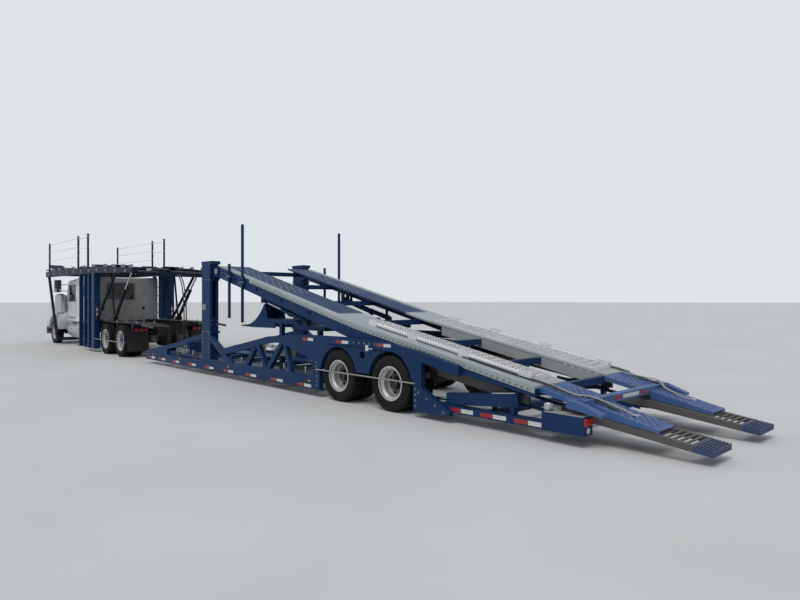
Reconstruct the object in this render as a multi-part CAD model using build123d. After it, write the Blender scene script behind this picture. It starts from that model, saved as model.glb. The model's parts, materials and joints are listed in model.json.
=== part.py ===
from build123d import *
import os
from math import atan2, cos, degrees, radians, sin

os.makedirs("parts", exist_ok=True)

# Car transporter: a long-nose sleeper tractor with a car rack over its cab, and a low trailer
# hinged behind its drive axles. All sizes are in millimetres. X runs forward and is counted from
# the trailer's rear axle, Y is left and Z is up from the ground. The finished model is moved
# along X so that its origin lies under the middle of its length.

# Sheet, gaps and fits
FLOOR_SHEET = 30
SEAT_GAP = 0.3
RUN_GAP = 8
HALF_WIDTH = 1300

# Trailer wheels: 19.5 inch twins
TRAILER_TYRE_R = 419
TRAILER_TYRE_W = 245
TRAILER_RIM_R = 248
TRAILER_AXLE_GAP = 1250
TRAILER_TWIN_PITCH = 300

# Tractor wheels: 22.5 inch low-profile tyres
TRACTOR_TYRE_R = 464
TRACTOR_TYRE_W = 255
TRACTOR_RIM_R = 286
DRIVE_TWIN_PITCH = 300
DRIVE_OUTER_FACE = 1245
STEER_TRACK_HALF = 1030

# Stations along the vehicle
DRIVE_REAR_X = 11785
DRIVE_AXLE_GAP = 1320
STEER_X = 19420
BALL_X = 10200
BALL_Z = 430
BALL_R = 60
SLEEPER_BACK_X = 14760
SLEEPER_LENGTH = 2240
CAB_BACK_X = SLEEPER_BACK_X + SLEEPER_LENGTH
COWL_X = 18620
HOOD_FRONT_X = 20450
BUMPER_FRONT_X = 20640
RACK_FRONT_X = 20700
RACK_REAR_X = 10650
RAMP_TIP_X = -4400
MID_X = (RACK_FRONT_X + RAMP_TIP_X) / 2

# Trailer frame
SIDE_T = 85
SIDE_IN = HALF_WIDTH - SIDE_T
NOSE_X = 9580
RAIL_BOTTOM = 130
RAIL_TOP = 360
CHORD_DEPTH = 130
TOWER_BACK_X = 5850
TOWER_LENGTH = 400
TOWER_WIDTH = 200
TOWER_TOP = 2450
ARCH_GAP = 62

# Upper deck: hinged at the towers, lowered at its rear
DECK_PIVOT_X = 5700
DECK_PIVOT_Z = 2280
DECK_FRONT_Z = 2400
DECK_KNEE_X = 1000
DECK_KNEE_Z = 1270
DECK_REAR_X = -2480
DECK_REAR_Z = 600
ARM_OUT = HALF_WIDTH - 100
ARM_T = 110
ARM_DEPTH = 240
ARM_REAR_DEPTH = 100
RUNWAY_IN = 500

# Ramps: inclined channels that slide out from under the deck
RAMP_IN = 460
RAMP_OUT = 980
RAMP_FRONT_X = -2700
RAMP_FRONT_Z = 400
RAMP_TIP_Z = 165
RAMP_DEPTH = 65
RAMP_FRONT_DEPTH = 100

# Tractor
RAIL_IN = 345
RAIL_T = 80
FRAME_TOP = 880
FRAME_BOTTOM = 630
FRAME_FRONT_X = 20300
HORN_TOP = 632
HORN_LOW = 470
BUMPER_T = 45
CAB_HALF = 930
CAB_FLOOR = 890
CAB_TOP = 2390
SLEEPER_HALF = 1030
SLEEPER_TOP = 2430
WALL = 50
ROOF_ROUND = 55
DOOR_REAR_X = 17150
DOOR_FRONT_X = 18340
DOOR_BOTTOM = 960
DOOR_TOP = 2270
HOOD_PIVOT_X = 20400
HOOD_PIVOT_Z = 650
HOOD_REAR_X = 18680
HOOD_REAR_TOP = 1800
HOOD_FRONT_TOP = 1620
FENDER_OUT = 1190
KINGPIN_Y = STEER_TRACK_HALF - 170
RACK_BEAM_TOP = 2720
RACK_BEAM_DEPTH = 200
RACK_OUT = HALF_WIDTH - 10
LOWER_DECK_Z = 1000
POLE_TOP = 3840


def block(xs, ys, zs):
    spans = [sorted(pair) for pair in (xs, ys, zs)]
    size = [high - low for low, high in spans]
    middle = [(high + low) / 2 for low, high in spans]
    return Pos(*middle) * Box(*size)


def prism(points, ys):
    """A side outline, given as (x, z) points, with its width along Y."""
    low, high = sorted(ys)
    outline = Polyline(*[(x, low, z) for x, z in points], close=True)
    return extrude(make_face(outline), amount=high - low, dir=(0, 1, 0))


def plan(points, zs):
    """A plan outline, given as (x, y) points, with its height along Z."""
    low, high = sorted(zs)
    outline = Polyline(*[(x, y, low) for x, y in points], close=True)
    return extrude(make_face(outline), amount=high - low, dir=(0, 0, 1))


def band(tops, depths, ys):
    """A beam whose upper edge follows (x, z) points, each with its own depth."""
    lows = [(x, z - depth) for (x, z), depth in zip(tops, depths)]
    return prism(tops + lows[::-1], ys)


def rod(start, end, radius):
    start, end = Vector(*start), Vector(*end)
    run = end - start
    return Plane(origin=start, z_dir=run) * Pos(0, 0, run.length / 2) * Cylinder(radius, run.length)


def strut(start, end, width, ys):
    """A straight bar between two (x, z) points, square to its own length."""
    (x0, z0), (x1, z1) = start, end
    lean = atan2(z1 - z0, x1 - x0)
    dx, dz = -sin(lean) * width / 2, cos(lean) * width / 2
    corners = [(x0 - dx, z0 - dz), (x1 - dx, z1 - dz), (x1 + dx, z1 + dz), (x0 + dx, z0 + dz)]
    return prism(corners, ys)


def cross_tube(x, z, half, size):
    """A square tube that runs from side to side, its top face at height z."""
    return block((x - size / 2, x + size / 2), (-half, half), (z - size, z))


def drum(x, z, ys, radius):
    """A round piece whose axis runs along Y."""
    return rod((x, min(ys), z), (x, max(ys), z), radius)


def turned(points, x, y, z):
    """A ring turned about an axle line along Y, from (radius, offset along Y) points."""
    outline = Polyline(*[(radius, offset, 0) for radius, offset in points], close=True)
    return Pos(x, y, z) * revolve(make_face(outline), Axis.Y)


def slots(centres, length, width, zs):
    """Upright slots with round ends, long along X, at (x, y) centres."""
    slot = extrude(SlotOverall(length, width), amount=zs[1] - zs[0])
    return joined(*[Pos(x, y, zs[0]) * slot for x, y in centres])


def staggered(xs, ys, shift):
    """Centres of a pattern of holes in which every second row is shifted along X."""
    return [(x + (shift if row % 2 else 0), y) for row, y in enumerate(ys) for x in xs]


def tray(tops, depths, ys, sheet, wall):
    """A channel that is open below: a top sheet with a flange along each side."""
    low, high = sorted(ys)
    sheets = [sheet] * len(tops)
    return joined(band(tops, sheets, ys), band(tops, depths, (low, low + wall)),
                  band(tops, depths, (high - wall, high)))


def joined(*shapes):
    return Part() + list(shapes)


def other_side(shape):
    return mirror(shape, about=Plane.XZ)


def both(*shapes):
    return [copy for shape in shapes for copy in (shape, other_side(shape))]


def save(name, *shapes):
    solids = [solid for shape in shapes for solid in shape.solids()]
    moved = [Pos(-MID_X, 0, 0) * solid for solid in solids]
    export_step(Compound(children=moved), f"parts/{name}.step")


def lerp(start, end, x):
    """Height at x on the line through two (x, z) points."""
    (x0, z0), (x1, z1) = start, end
    return z0 + (z1 - z0) * (x - x0) / (x1 - x0)


def tyre(x, y, z, radius, width, bead):
    """Tyre ring: bead, bulging side and flat tread."""
    bulge_r = bead + (radius - bead) * 0.5
    half = [(bead, width * 0.40), (bulge_r, width * 0.50), (radius, width * 0.42)]
    return turned(half + [(r, -offset) for r, offset in half[::-1]], x, y, z)


def rim(x, y, z, radius, width, dish, bore, outward):
    """Steel wheel: barrel with flanges and a drop centre, and a dished disc with hand holes."""
    skin = 12
    seat = radius - SEAT_GAP
    inner = seat - skin
    lip = width * 0.40
    well = radius * 0.14
    disc = dish * outward
    # Barrel from one flange to the other: radius, offset along the axle
    half = [(inner, lip + 10), (seat + 12, lip + 10), (seat + 12, lip + 5), (seat, lip), (seat, lip * 0.7),
            (seat - well, lip * 0.45)]
    outer_side = [*half, *[(r, -offset) for r, offset in half[::-1]]]
    inner_side = [(inner - well, -lip * 0.5), (inner - well, lip * 0.5)]
    barrel = turned(outer_side + [(inner, -lip * 0.8), *inner_side, (inner, lip * 0.8)], x, y, z)
    # Disc: radius, offset from its foot, both sides of the sheet
    rise = [(inner - well + 2, 0), (radius * 0.68, 14), (radius * 0.56, 34), (bore, 34)]
    near = [(r, disc + (offset - skin / 2) * outward) for r, offset in rise]
    far = [(r, disc + (offset + skin / 2) * outward) for r, offset in rise]
    web = turned(near + far[::-1], x, y, z)
    hole_r = radius * 0.085
    for step in range(HAND_HOLES):
        turn = (step + 0.5) * 360 / HAND_HOLES
        hole_x = x + radius * 0.66 * cos(radians(turn))
        hole_z = z + radius * 0.66 * sin(radians(turn))
        web -= drum(hole_x, hole_z, (y - width / 2, y + width / 2), hole_r)
    return joined(barrel, web)


# Wheels. Each twin pair turns as one: two tyres in one node, two steel wheels in another.
HUB_R = 62
HAND_HOLES = 8
trailer_outer_y = HALF_WIDTH - 3 - TRAILER_TYRE_W / 2
drive_outer_y = DRIVE_OUTER_FACE - TRACTOR_TYRE_W / 2
# Columns: name, x, outer wheel y, pitch, tyre radius, tyre width, rim radius
TWIN_AXLES = [
    ("trailer_rear", 0, trailer_outer_y, TRAILER_TWIN_PITCH,
     TRAILER_TYRE_R, TRAILER_TYRE_W, TRAILER_RIM_R),
    ("trailer_front", TRAILER_AXLE_GAP, trailer_outer_y, TRAILER_TWIN_PITCH,
     TRAILER_TYRE_R, TRAILER_TYRE_W, TRAILER_RIM_R),
    ("drive_rear", DRIVE_REAR_X, drive_outer_y, DRIVE_TWIN_PITCH,
     TRACTOR_TYRE_R, TRACTOR_TYRE_W, TRACTOR_RIM_R),
    ("drive_front", DRIVE_REAR_X + DRIVE_AXLE_GAP, drive_outer_y, DRIVE_TWIN_PITCH,
     TRACTOR_TYRE_R, TRACTOR_TYRE_W, TRACTOR_RIM_R),
]
for name, x, outer_y, pitch, radius, width, bead in TWIN_AXLES:
    inner_y = outer_y - pitch
    dish = width * 0.16
    tyres = [tyre(x, y, radius, radius, width, bead) for y in (outer_y, inner_y)]
    rims = joined(rim(x, outer_y, radius, bead, width, dish, HUB_R + SEAT_GAP, -1),
                  rim(x, inner_y, radius, bead, width, dish, HUB_R + SEAT_GAP, 1),
                  turned([(HUB_R + SEAT_GAP, inner_y + 60), (HUB_R + SEAT_GAP, outer_y - 60),
                          (HUB_R * 1.9, outer_y - 60), (HUB_R * 1.9, inner_y + 60)], x, 0, radius))
    save(f"tyres_{name}_left", *tyres)
    save(f"tyres_{name}_right", *[other_side(t) for t in tyres])
    save(f"rims_{name}_left", rims)
    save(f"rims_{name}_right", other_side(rims))

SPINDLE_R = 40
steer_tyre = tyre(STEER_X, STEER_TRACK_HALF, TRACTOR_TYRE_R, TRACTOR_TYRE_R, TRACTOR_TYRE_W,
                  TRACTOR_RIM_R)
steer_rim = joined(
    rim(STEER_X, STEER_TRACK_HALF, TRACTOR_TYRE_R, TRACTOR_RIM_R, TRACTOR_TYRE_W,
        TRACTOR_TYRE_W * 0.10, SPINDLE_R + SEAT_GAP, 1),
    turned([(SPINDLE_R + SEAT_GAP, 0), (SPINDLE_R + SEAT_GAP, 130), (95, 130), (110, 0)],
           STEER_X, STEER_TRACK_HALF - 20, TRACTOR_TYRE_R))
save("tyre_steer_left", steer_tyre)
save("tyre_steer_right", other_side(steer_tyre))
save("rim_steer_left", steer_rim)
save("rim_steer_right", other_side(steer_rim))

# Knuckle: a fork round the axle's eye, its spindle and brake drum
EYE_R = 45
EYE_HALF = 50
FORK_T = 45
wheel_z = TRACTOR_TYRE_R
fork_x = (STEER_X - 60, STEER_X + 60)
fork_y = (KINGPIN_Y - EYE_R, KINGPIN_Y + EYE_R + 35)
fork_low = wheel_z - EYE_HALF - SEAT_GAP
fork_high = wheel_z + EYE_HALF + SEAT_GAP
knuckle = joined(
    block(fork_x, fork_y, (fork_high, fork_high + FORK_T)),
    block(fork_x, fork_y, (fork_low - FORK_T, fork_low)),
    block(fork_x, (KINGPIN_Y + EYE_R + 8, KINGPIN_Y + EYE_R + 35), (fork_low - 5, fork_high + 5)),
    drum(STEER_X, wheel_z, (KINGPIN_Y + EYE_R + 30, STEER_TRACK_HALF - 30), 205),
    drum(STEER_X, wheel_z, (KINGPIN_Y + EYE_R + 30, STEER_TRACK_HALF + 90), SPINDLE_R))
save("knuckle_left", knuckle)
save("knuckle_right", other_side(knuckle))

# Steer axle: beam between the two eyes, with its leaf springs
SPRING_HALF = 640
beam_top = wheel_z - 20
spring_y = (RAIL_IN + 5, RAIL_IN + RAIL_T - 5)
spring_tops = [(STEER_X - SPRING_HALF, FRAME_BOTTOM - 20), (STEER_X - 250, beam_top + 75),
               (STEER_X + 250, beam_top + 75), (STEER_X + SPRING_HALF, FRAME_BOTTOM - 20)]
axle_beam = joined(
    block((STEER_X - 55, STEER_X + 55), (-KINGPIN_Y + 90, KINGPIN_Y - 90), (beam_top - 90, beam_top)),
    *both(Pos(STEER_X, KINGPIN_Y, wheel_z) * Cylinder(EYE_R, EYE_HALF * 2)),
    *both(block((STEER_X - 50, STEER_X + 50), (KINGPIN_Y - 125, KINGPIN_Y - 15),
                (fork_low + 4, fork_high - 4))),
    *both(block((STEER_X - 90, STEER_X + 90), spring_y, (beam_top - 5, beam_top + 40))),
    *both(band(spring_tops, [40] * len(spring_tops), spring_y)),
    *both(*[block((x - 35, x + 35), spring_y, (FRAME_BOTTOM - 55, FRAME_BOTTOM))
            for x in (STEER_X - SPRING_HALF, STEER_X + SPRING_HALF)]))
save("steer_axle", axle_beam)

# Drive axles: housings, centre casings and the blocks that carry the frame
drive_xs = (DRIVE_REAR_X, DRIVE_REAR_X + DRIVE_AXLE_GAP)
hub_end = drive_outer_y + 40
drive_axles = []
for x in drive_xs:
    housing = joined(
        drum(x, TRACTOR_TYRE_R, (-hub_end, hub_end), HUB_R),
        drum(x, TRACTOR_TYRE_R, (-(drive_outer_y - DRIVE_TWIN_PITCH - 150),
                                 drive_outer_y - DRIVE_TWIN_PITCH - 150), 95),
        Pos(x, 0, TRACTOR_TYRE_R) * Sphere(205),
        *both(block((x - 75, x + 75), (RAIL_IN + 5, RAIL_IN + RAIL_T - 5),
                    (TRACTOR_TYRE_R, FRAME_BOTTOM))))
    drive_axles.append(housing)
save("drive_axles", *drive_axles)

# Tractor frame: two rails, cross-members, and the drop stinger with its ball
STINGER_HALF = 150
rail_rear = DRIVE_REAR_X - 750
rails = both(block((rail_rear, FRAME_FRONT_X), (RAIL_IN, RAIL_IN + RAIL_T),
                   (FRAME_BOTTOM, FRAME_TOP)))
frame_ties = [block((x - 60, x + 60), (-RAIL_IN - 10, RAIL_IN + 10), (FRAME_BOTTOM + 50, FRAME_TOP - 20))
              for x in (rail_rear + 60, DRIVE_REAR_X + DRIVE_AXLE_GAP / 2, 14500, 16200, 17600, 20230)]
stinger_side = [(rail_rear, FRAME_TOP), (rail_rear + 260, FRAME_BOTTOM + 20), (rail_rear + 120, 270),
                (BALL_X - 130, 270), (BALL_X - 130, BALL_Z - 70), (rail_rear - 150, BALL_Z - 70)]
stinger = joined(
    *both(prism(stinger_side, (STINGER_HALF - 50, STINGER_HALF))),
    block((BALL_X - 130, rail_rear + 110), (-STINGER_HALF, STINGER_HALF), (BALL_Z - 90, BALL_Z - 70)),
    block((BALL_X - 130, rail_rear + 110), (-STINGER_HALF, STINGER_HALF), (270, 290)),
    block((rail_rear + 10, rail_rear + 60), (-RAIL_IN - 10, RAIL_IN + 10), (FRAME_BOTTOM, FRAME_TOP - 20)),
    Pos(BALL_X, 0, BALL_Z - 45) * Cylinder(34, 70),
    Pos(BALL_X, 0, BALL_Z) * Sphere(BALL_R))
horn = block((FRAME_FRONT_X - 180, BUMPER_FRONT_X - BUMPER_T), (RAIL_IN, RAIL_IN + RAIL_T),
             (HORN_LOW, HORN_TOP))
# Hood hinge: a pin between two cheeks on each horn
HINGE_R = 10
hinge_y = (RAIL_IN + 12, RAIL_IN + RAIL_T - 12)
hood_cheeks = [block((HOOD_PIVOT_X - 16, HOOD_PIVOT_X + 16), ys, (HORN_TOP - 5, HOOD_PIVOT_Z + 16))
               for ys in ((RAIL_IN, hinge_y[0] - 1), (hinge_y[1] + 1, RAIL_IN + RAIL_T))]
hood_pin = drum(HOOD_PIVOT_X, HOOD_PIVOT_Z, (RAIL_IN + 2, RAIL_IN + RAIL_T - 2), HINGE_R)
# Mud flaps behind the drive wheels, each on a bar from the rail, and two air tanks
FLAP_BAR_X = rail_rear + 110
flap_bar = block((FLAP_BAR_X - 15, FLAP_BAR_X + 15), (RAIL_IN + RAIL_T - 2, DRIVE_OUTER_FACE), (700, 730))
mud_flap = block((FLAP_BAR_X - 5, FLAP_BAR_X + 5), (640, DRIVE_OUTER_FACE), (190, 702))
AIR_TANK_R = 110
air_tank = joined(rod((14850, 200, 755), (15700, 200, 755), AIR_TANK_R),
                  *[block((x - 25, x + 25), (0, RAIL_IN + 5), (845, 870)) for x in (15000, 15550)])
# Mounts on the rails that carry the sleeper and the cab
cab_mounts = [block((x - 60, x + 60), (RAIL_IN + 10, RAIL_IN + RAIL_T - 10),
                    (FRAME_TOP - 2, CAB_FLOOR - SEAT_GAP)) for x in (15000, 16500, 17300, 18300)]
save("tractor_frame", joined(*rails, *frame_ties, stinger,
                             *both(horn, *hood_cheeks, hood_pin, flap_bar, mud_flap, air_tank,
                                   *cab_mounts)))

# Engine and radiator: plain masses at their real places
engine_mounts = [block((x - 50, x + 50), (SEAT_GAP - RAIL_IN, RAIL_IN - SEAT_GAP), (710, 790))
                 for x in (18950, 19850)]
engine = joined(block((18760, 20000), (-330, 330), (FRAME_BOTTOM, 1430)), *engine_mounts,
                block((19990, 20090), (-260, 260), (FRAME_BOTTOM + 40, 1380)),
                block((20085, 20160), (-330, 330), (FRAME_BOTTOM + 40, 1420)))
save("engine", engine)

# Bumper: a tall plate, bent back at both ends
BUMPER_LOW = 330
BUMPER_HIGH = 612
bumper_line = [(BUMPER_FRONT_X - 130, -1175), (BUMPER_FRONT_X, -820), (BUMPER_FRONT_X, 820),
               (BUMPER_FRONT_X - 130, 1175)]
bumper_back = [(x - BUMPER_T, y * 0.985) for x, y in bumper_line[::-1]]
bumper = plan(bumper_line + bumper_back, (BUMPER_LOW, BUMPER_HIGH))
lamp_slots = [block((BUMPER_FRONT_X - 80, BUMPER_FRONT_X + 10), (520, 760), (425, 515)),
              block((BUMPER_FRONT_X - 80, BUMPER_FRONT_X + 10), (130, 190), (440, 500))]
save("bumper", bumper - joined(*both(*lamp_slots)))

# Cab shell: hollow, with its windscreen, door openings and the way through to the sleeper
cab_outline = [(CAB_BACK_X, CAB_FLOOR), (CAB_BACK_X, CAB_TOP), (18080, CAB_TOP), (18290, 2330),
               (COWL_X, 1740), (COWL_X, CAB_FLOOR)]
cab_face = make_face(Polyline(*[(x, 0, z) for x, z in cab_outline], close=True))
cab_inner = offset(cab_face, amount=-WALL, kind=Kind.INTERSECTION)
cab_solid = prism(cab_outline, (-CAB_HALF, CAB_HALF))
cab_solid = fillet(cab_solid.edges().filter_by(Axis.X).group_by(Axis.Z)[-1], ROOF_ROUND)
cab_hollow = extrude(cab_inner, amount=CAB_HALF - WALL, dir=(0, 1, 0), both=True)
door_hole = block((DOOR_REAR_X, DOOR_FRONT_X), (CAB_HALF - WALL - 40, CAB_HALF + 40),
                  (DOOR_BOTTOM, DOOR_TOP))
screen_low, screen_high = (18590, 1790), (18310, 2300)
screen_hole = [prism([(screen_low[0] + 90, screen_low[1]), (screen_high[0] + 90, screen_high[1]),
                      (screen_high[0] - 130, screen_high[1]), (screen_low[0] - 130, screen_low[1])],
                     ys) for ys in ((30, CAB_HALF - 90), (30 - CAB_HALF + 60, -30))]
walk_through = block((CAB_BACK_X - 30, CAB_BACK_X + WALL + 30), (-560, 560), (CAB_FLOOR + WALL, 2250))
cab_shell = cab_solid - cab_hollow - walk_through - joined(*both(door_hole)) - joined(*screen_hole)
# Door hinges on the cab: a pin with an ear above and below each barrel of the door
DOOR_AXIS_Y = CAB_HALF + 16
DOOR_HINGE_ZS = (1120, 1480)
HINGE_H = 90
EAR_H = 16
HINGE_EYE_R = 14


def hinge_drum(z, radius, height):
    """An upright round piece on the door's hinge line, its middle at height z."""
    return Pos(DOOR_FRONT_X, DOOR_AXIS_Y, z) * Cylinder(radius, height)


def door_pin(z):
    ear_y = (CAB_HALF - 2, DOOR_AXIS_Y + HINGE_EYE_R)
    ears = [block((DOOR_FRONT_X, DOOR_FRONT_X + 70), ear_y, (low, low + EAR_H)) +
            hinge_drum(low + EAR_H / 2, HINGE_EYE_R, EAR_H)
            for low in (z - EAR_H - 1, z + HINGE_H + 1)]
    return joined(hinge_drum(z + HINGE_H / 2, HINGE_R, HINGE_H + 2 * EAR_H), *ears)


visor = prism([(18190, 2352), (18270, 2374), (18490, 2316), (18487, 2304), (18280, 2345)],
              (100 - CAB_HALF, CAB_HALF - 100))
save("cab_shell", joined(cab_shell, visor, *both(*[door_pin(z) for z in DOOR_HINGE_ZS])))

# Sleeper shell: hollow box with a rounded rear window and a vent window each side
sleeper_box = block((SLEEPER_BACK_X, CAB_BACK_X - RUN_GAP), (-SLEEPER_HALF, SLEEPER_HALF),
                    (CAB_FLOOR, SLEEPER_TOP))
back_edges = sleeper_box.edges().group_by(Axis.X)[0].sort_by(Axis.Z)[1:]
sleeper_box = fillet(back_edges + sleeper_box.edges().filter_by(Axis.X).group_by(Axis.Z)[-1], ROOF_ROUND)
sleeper_hollow = block((SLEEPER_BACK_X + WALL, CAB_BACK_X - RUN_GAP - WALL),
                       (-SLEEPER_HALF + WALL, SLEEPER_HALF - WALL), (CAB_FLOOR + WALL, SLEEPER_TOP - WALL))
BACK_WINDOW = (-230, 680, 1680, 2230)
win_y0, win_y1, win_z0, win_z1 = BACK_WINDOW
back_window = Pos(SLEEPER_BACK_X, (win_y0 + win_y1) / 2, (win_z0 + win_z1) / 2) * Rot(0, 90, 0) * \
    extrude(RectangleRounded(win_z1 - win_z0, win_y1 - win_y0, 90), amount=WALL * 2, both=True)
sleeper_front_hole = block((CAB_BACK_X - RUN_GAP - WALL - 30, CAB_BACK_X + 30), (-560, 560),
                           (CAB_FLOOR + WALL, 2250))
side_window = block((15900, 16500), (SLEEPER_HALF - WALL - 30, SLEEPER_HALF + 30), (1800, 2100))
sleeper = sleeper_box - sleeper_hollow - back_window - sleeper_front_hole - joined(*both(side_window))
gasket = block((CAB_BACK_X - RUN_GAP, CAB_BACK_X), (600, 660), (CAB_FLOOR, 2250))
save("sleeper_shell", joined(sleeper, *both(gasket)))

# Glass: two windscreen halves, the rear window and the side vents, each seated in its hole
GLASS = 6
pane_z = (screen_low[1] + SEAT_GAP, screen_high[1] - SEAT_GAP)
glass_x = [lerp((screen_low[1], screen_low[0]), (screen_high[1], screen_high[0]), z) for z in pane_z]
panes = [prism([(glass_x[0], pane_z[0]), (glass_x[1], pane_z[1]),
                (glass_x[1] - GLASS * 1.3, pane_z[1]), (glass_x[0] - GLASS * 1.3, pane_z[0])], ys)
         for ys in ((30 + SEAT_GAP, CAB_HALF - 90 - SEAT_GAP), (90 - CAB_HALF + SEAT_GAP, -30 - SEAT_GAP))]
rear_pane = Pos(SLEEPER_BACK_X + WALL / 2, (win_y0 + win_y1) / 2, (win_z0 + win_z1) / 2) * Rot(0, 90, 0) * \
    extrude(RectangleRounded(win_z1 - win_z0 - 2 * SEAT_GAP, win_y1 - win_y0 - 2 * SEAT_GAP, 90),
            amount=GLASS / 2, both=True)
vent_pane = block((15900 + SEAT_GAP, 16500 - SEAT_GAP),
                  (SLEEPER_HALF - WALL / 2, SLEEPER_HALF - WALL / 2 + GLASS),
                  (1800 + SEAT_GAP, 2100 - SEAT_GAP))
save("cab_glass", *panes, rear_pane, *both(vent_pane))

# Seats: base, cushion and back for driver and passenger, and a bunk in the sleeper
floor_z = CAB_FLOOR + WALL
seat = joined(block((17400, 17800), (330, 700), (floor_z, 1250)),
              block((17320, 17880), (270, 760), (1250, 1400)),
              prism([(17320, 1390), (17460, 1390), (17360, 2060), (17230, 2060)], (290, 740)))
bunk_half = SLEEPER_HALF - WALL - 60
bunk = block((SLEEPER_BACK_X + WALL + SEAT_GAP, SLEEPER_BACK_X + 900), (-bunk_half, bunk_half),
             (floor_z, 1480))
save("seats", *both(seat), bunk)

# Dashboard with the steering column and wheel
DRIVER_Y = 515
STEERING_WHEEL_R = 215
dash = joined(prism([(COWL_X - WALL - SEAT_GAP, 1200), (18180, 1250), (18160, 1560), (18300, 1640),
                     (COWL_X - WALL - SEAT_GAP, 1640)], (-CAB_HALF + 90, CAB_HALF - 90)),
              rod((18200, DRIVER_Y, 1500), (17998, DRIVER_Y, 1590), 28))
wheel_place = Pos(18000, DRIVER_Y, 1590) * Rot(0, -66, 0)
wheel_ring = wheel_place * Torus(STEERING_WHEEL_R, 16)
spokes = [wheel_place * Rot(0, 0, turn) * Box(STEERING_WHEEL_R * 2, 26, 10) for turn in (0, 90)]
save("dashboard", joined(dash, wheel_ring, *spokes))

# Doors: as thick as the wall, with the window hole, hinge edge forward, and the mirror arm
door_gap = 6
door_x = (DOOR_REAR_X + door_gap, DOOR_FRONT_X - door_gap)
door_z = (DOOR_BOTTOM + door_gap, DOOR_TOP - door_gap)
window_x = (17260, 18240)
window_z = (1620, 2190)
door_panel = block(door_x, (CAB_HALF - WALL, CAB_HALF), door_z) - \
    block(window_x, (CAB_HALF - WALL - 30, CAB_HALF + 30), window_z)
mirror_x = 18260
MIRROR_OUT = 1430


def door_barrel(z):
    """Hinge barrel of the door with the strap that joins it to the panel's front edge."""
    span = (z, z + HINGE_H)
    leaf = block((DOOR_FRONT_X - 60, DOOR_FRONT_X), (DOOR_AXIS_Y - 4, DOOR_AXIS_Y + 4), span)
    root = block((DOOR_FRONT_X - 60, DOOR_FRONT_X - 16), (CAB_HALF - 2, DOOR_AXIS_Y + 4), span)
    eye = hinge_drum(z + HINGE_H / 2, HINGE_EYE_R, HINGE_H)
    return joined(eye, leaf, root) - hinge_drum(z + HINGE_H / 2, HINGE_R + SEAT_GAP, HINGE_H * 2)


door_barrels = [door_barrel(z) for z in DOOR_HINGE_ZS]
arms = [rod((mirror_x, CAB_HALF - 4, z), (mirror_x, MIRROR_OUT - 120, z + 10), 14) for z in (1990, 2225)]
head = block((mirror_x - 45, mirror_x + 45), (MIRROR_OUT - 240, MIRROR_OUT), (1940, 2400))
door = joined(door_panel, *door_barrels, *arms, head)
pane = block((window_x[0] + SEAT_GAP, window_x[1] - SEAT_GAP),
             (CAB_HALF - WALL / 2, CAB_HALF - WALL / 2 + GLASS),
             (window_z[0] + SEAT_GAP, window_z[1] - SEAT_GAP))
save("door_left", door)
save("door_right", other_side(door))
save("door_glass_left", pane)
save("door_glass_right", other_side(pane))

# Air cleaners: a barrel on each side of the cowl, on two brackets
CLEANER_R = 190
cleaner_x = 18560
cleaner_y = CAB_HALF + CLEANER_R + 12
cleaner = joined(Pos(cleaner_x, cleaner_y, 1515) * Cylinder(CLEANER_R, 640),
                 Pos(cleaner_x, cleaner_y, 1860) * Cone(CLEANER_R, 90, 60),
                 Pos(cleaner_x, cleaner_y, 1170) * Cone(80, CLEANER_R, 60),
                 *[block((cleaner_x - 40, cleaner_x + 40), (CAB_HALF, cleaner_y - 60), (z, z + 40))
                   for z in (1300, 1650)])
save("air_cleaners", *both(cleaner))

# Hood: tapered box, open below and behind, with wheel arches
hood_skin = 20


def hood_section(x, half, low, high, corner):
    """Front-view outline of the hood at one station, its upper corners rounded."""
    outline = Polyline((x, -half, low), (x, -half, high), (x, half, high), (x, half, low), close=True)
    face = make_face(outline)
    tops = face.vertices().sort_by(Axis.Z)[-2:]
    return fillet(tops, corner)


HOOD_REAR_HALF = 800
HOOD_FRONT_HALF = 470
hood_low = 930
hood_outer = loft([hood_section(HOOD_REAR_X, HOOD_REAR_HALF, hood_low, HOOD_REAR_TOP, 150),
                   hood_section(HOOD_FRONT_X, HOOD_FRONT_HALF, hood_low, HOOD_FRONT_TOP, 90)])
hood_inner = loft([hood_section(HOOD_REAR_X - 1, HOOD_REAR_HALF - hood_skin, hood_low - 1,
                                HOOD_REAR_TOP - hood_skin, 135),
                   hood_section(HOOD_FRONT_X + 1, HOOD_FRONT_HALF - hood_skin, hood_low - 1,
                                HOOD_FRONT_TOP - hood_skin, 75)])
NOSE_BAR = 40
grille_hole_half = HOOD_FRONT_HALF - NOSE_BAR
nose_frame = block((HOOD_FRONT_X - 60, HOOD_FRONT_X), (-HOOD_FRONT_HALF, HOOD_FRONT_HALF), (680, 1500)) - \
    block((HOOD_FRONT_X - 80, HOOD_FRONT_X + 20), (-grille_hole_half, grille_hole_half),
          (680 + NOSE_BAR, 1580))
FENDER_R = 680
FENDER_IN_R = 600
FENDER_ROUND = 45
fender_y = (HOOD_FRONT_HALF - 10, FENDER_OUT)
fender = drum(STEER_X, TRACTOR_TYRE_R, fender_y, FENDER_R) + \
    block((STEER_X + 300, HOOD_FRONT_X - 10), fender_y, (680, 960))
fender = fillet(fender.edges().group_by(Axis.Y)[-1], FENDER_ROUND)
fender -= drum(STEER_X, TRACTOR_TYRE_R, (0, FENDER_OUT + 10), FENDER_IN_R)
fender -= block((STEER_X - 900, STEER_X + 900), (0, FENDER_OUT + 10), (-300, 560))
fender_hollow = block((STEER_X + 640, HOOD_FRONT_X - 40), (fender_y[0] + 60, FENDER_OUT - 30), (600, 930))
fender -= fender_hollow
lamp_hole = block((HOOD_FRONT_X - 80, HOOD_FRONT_X), (640, 1020), (730, 910))
fender -= lamp_hole
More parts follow.
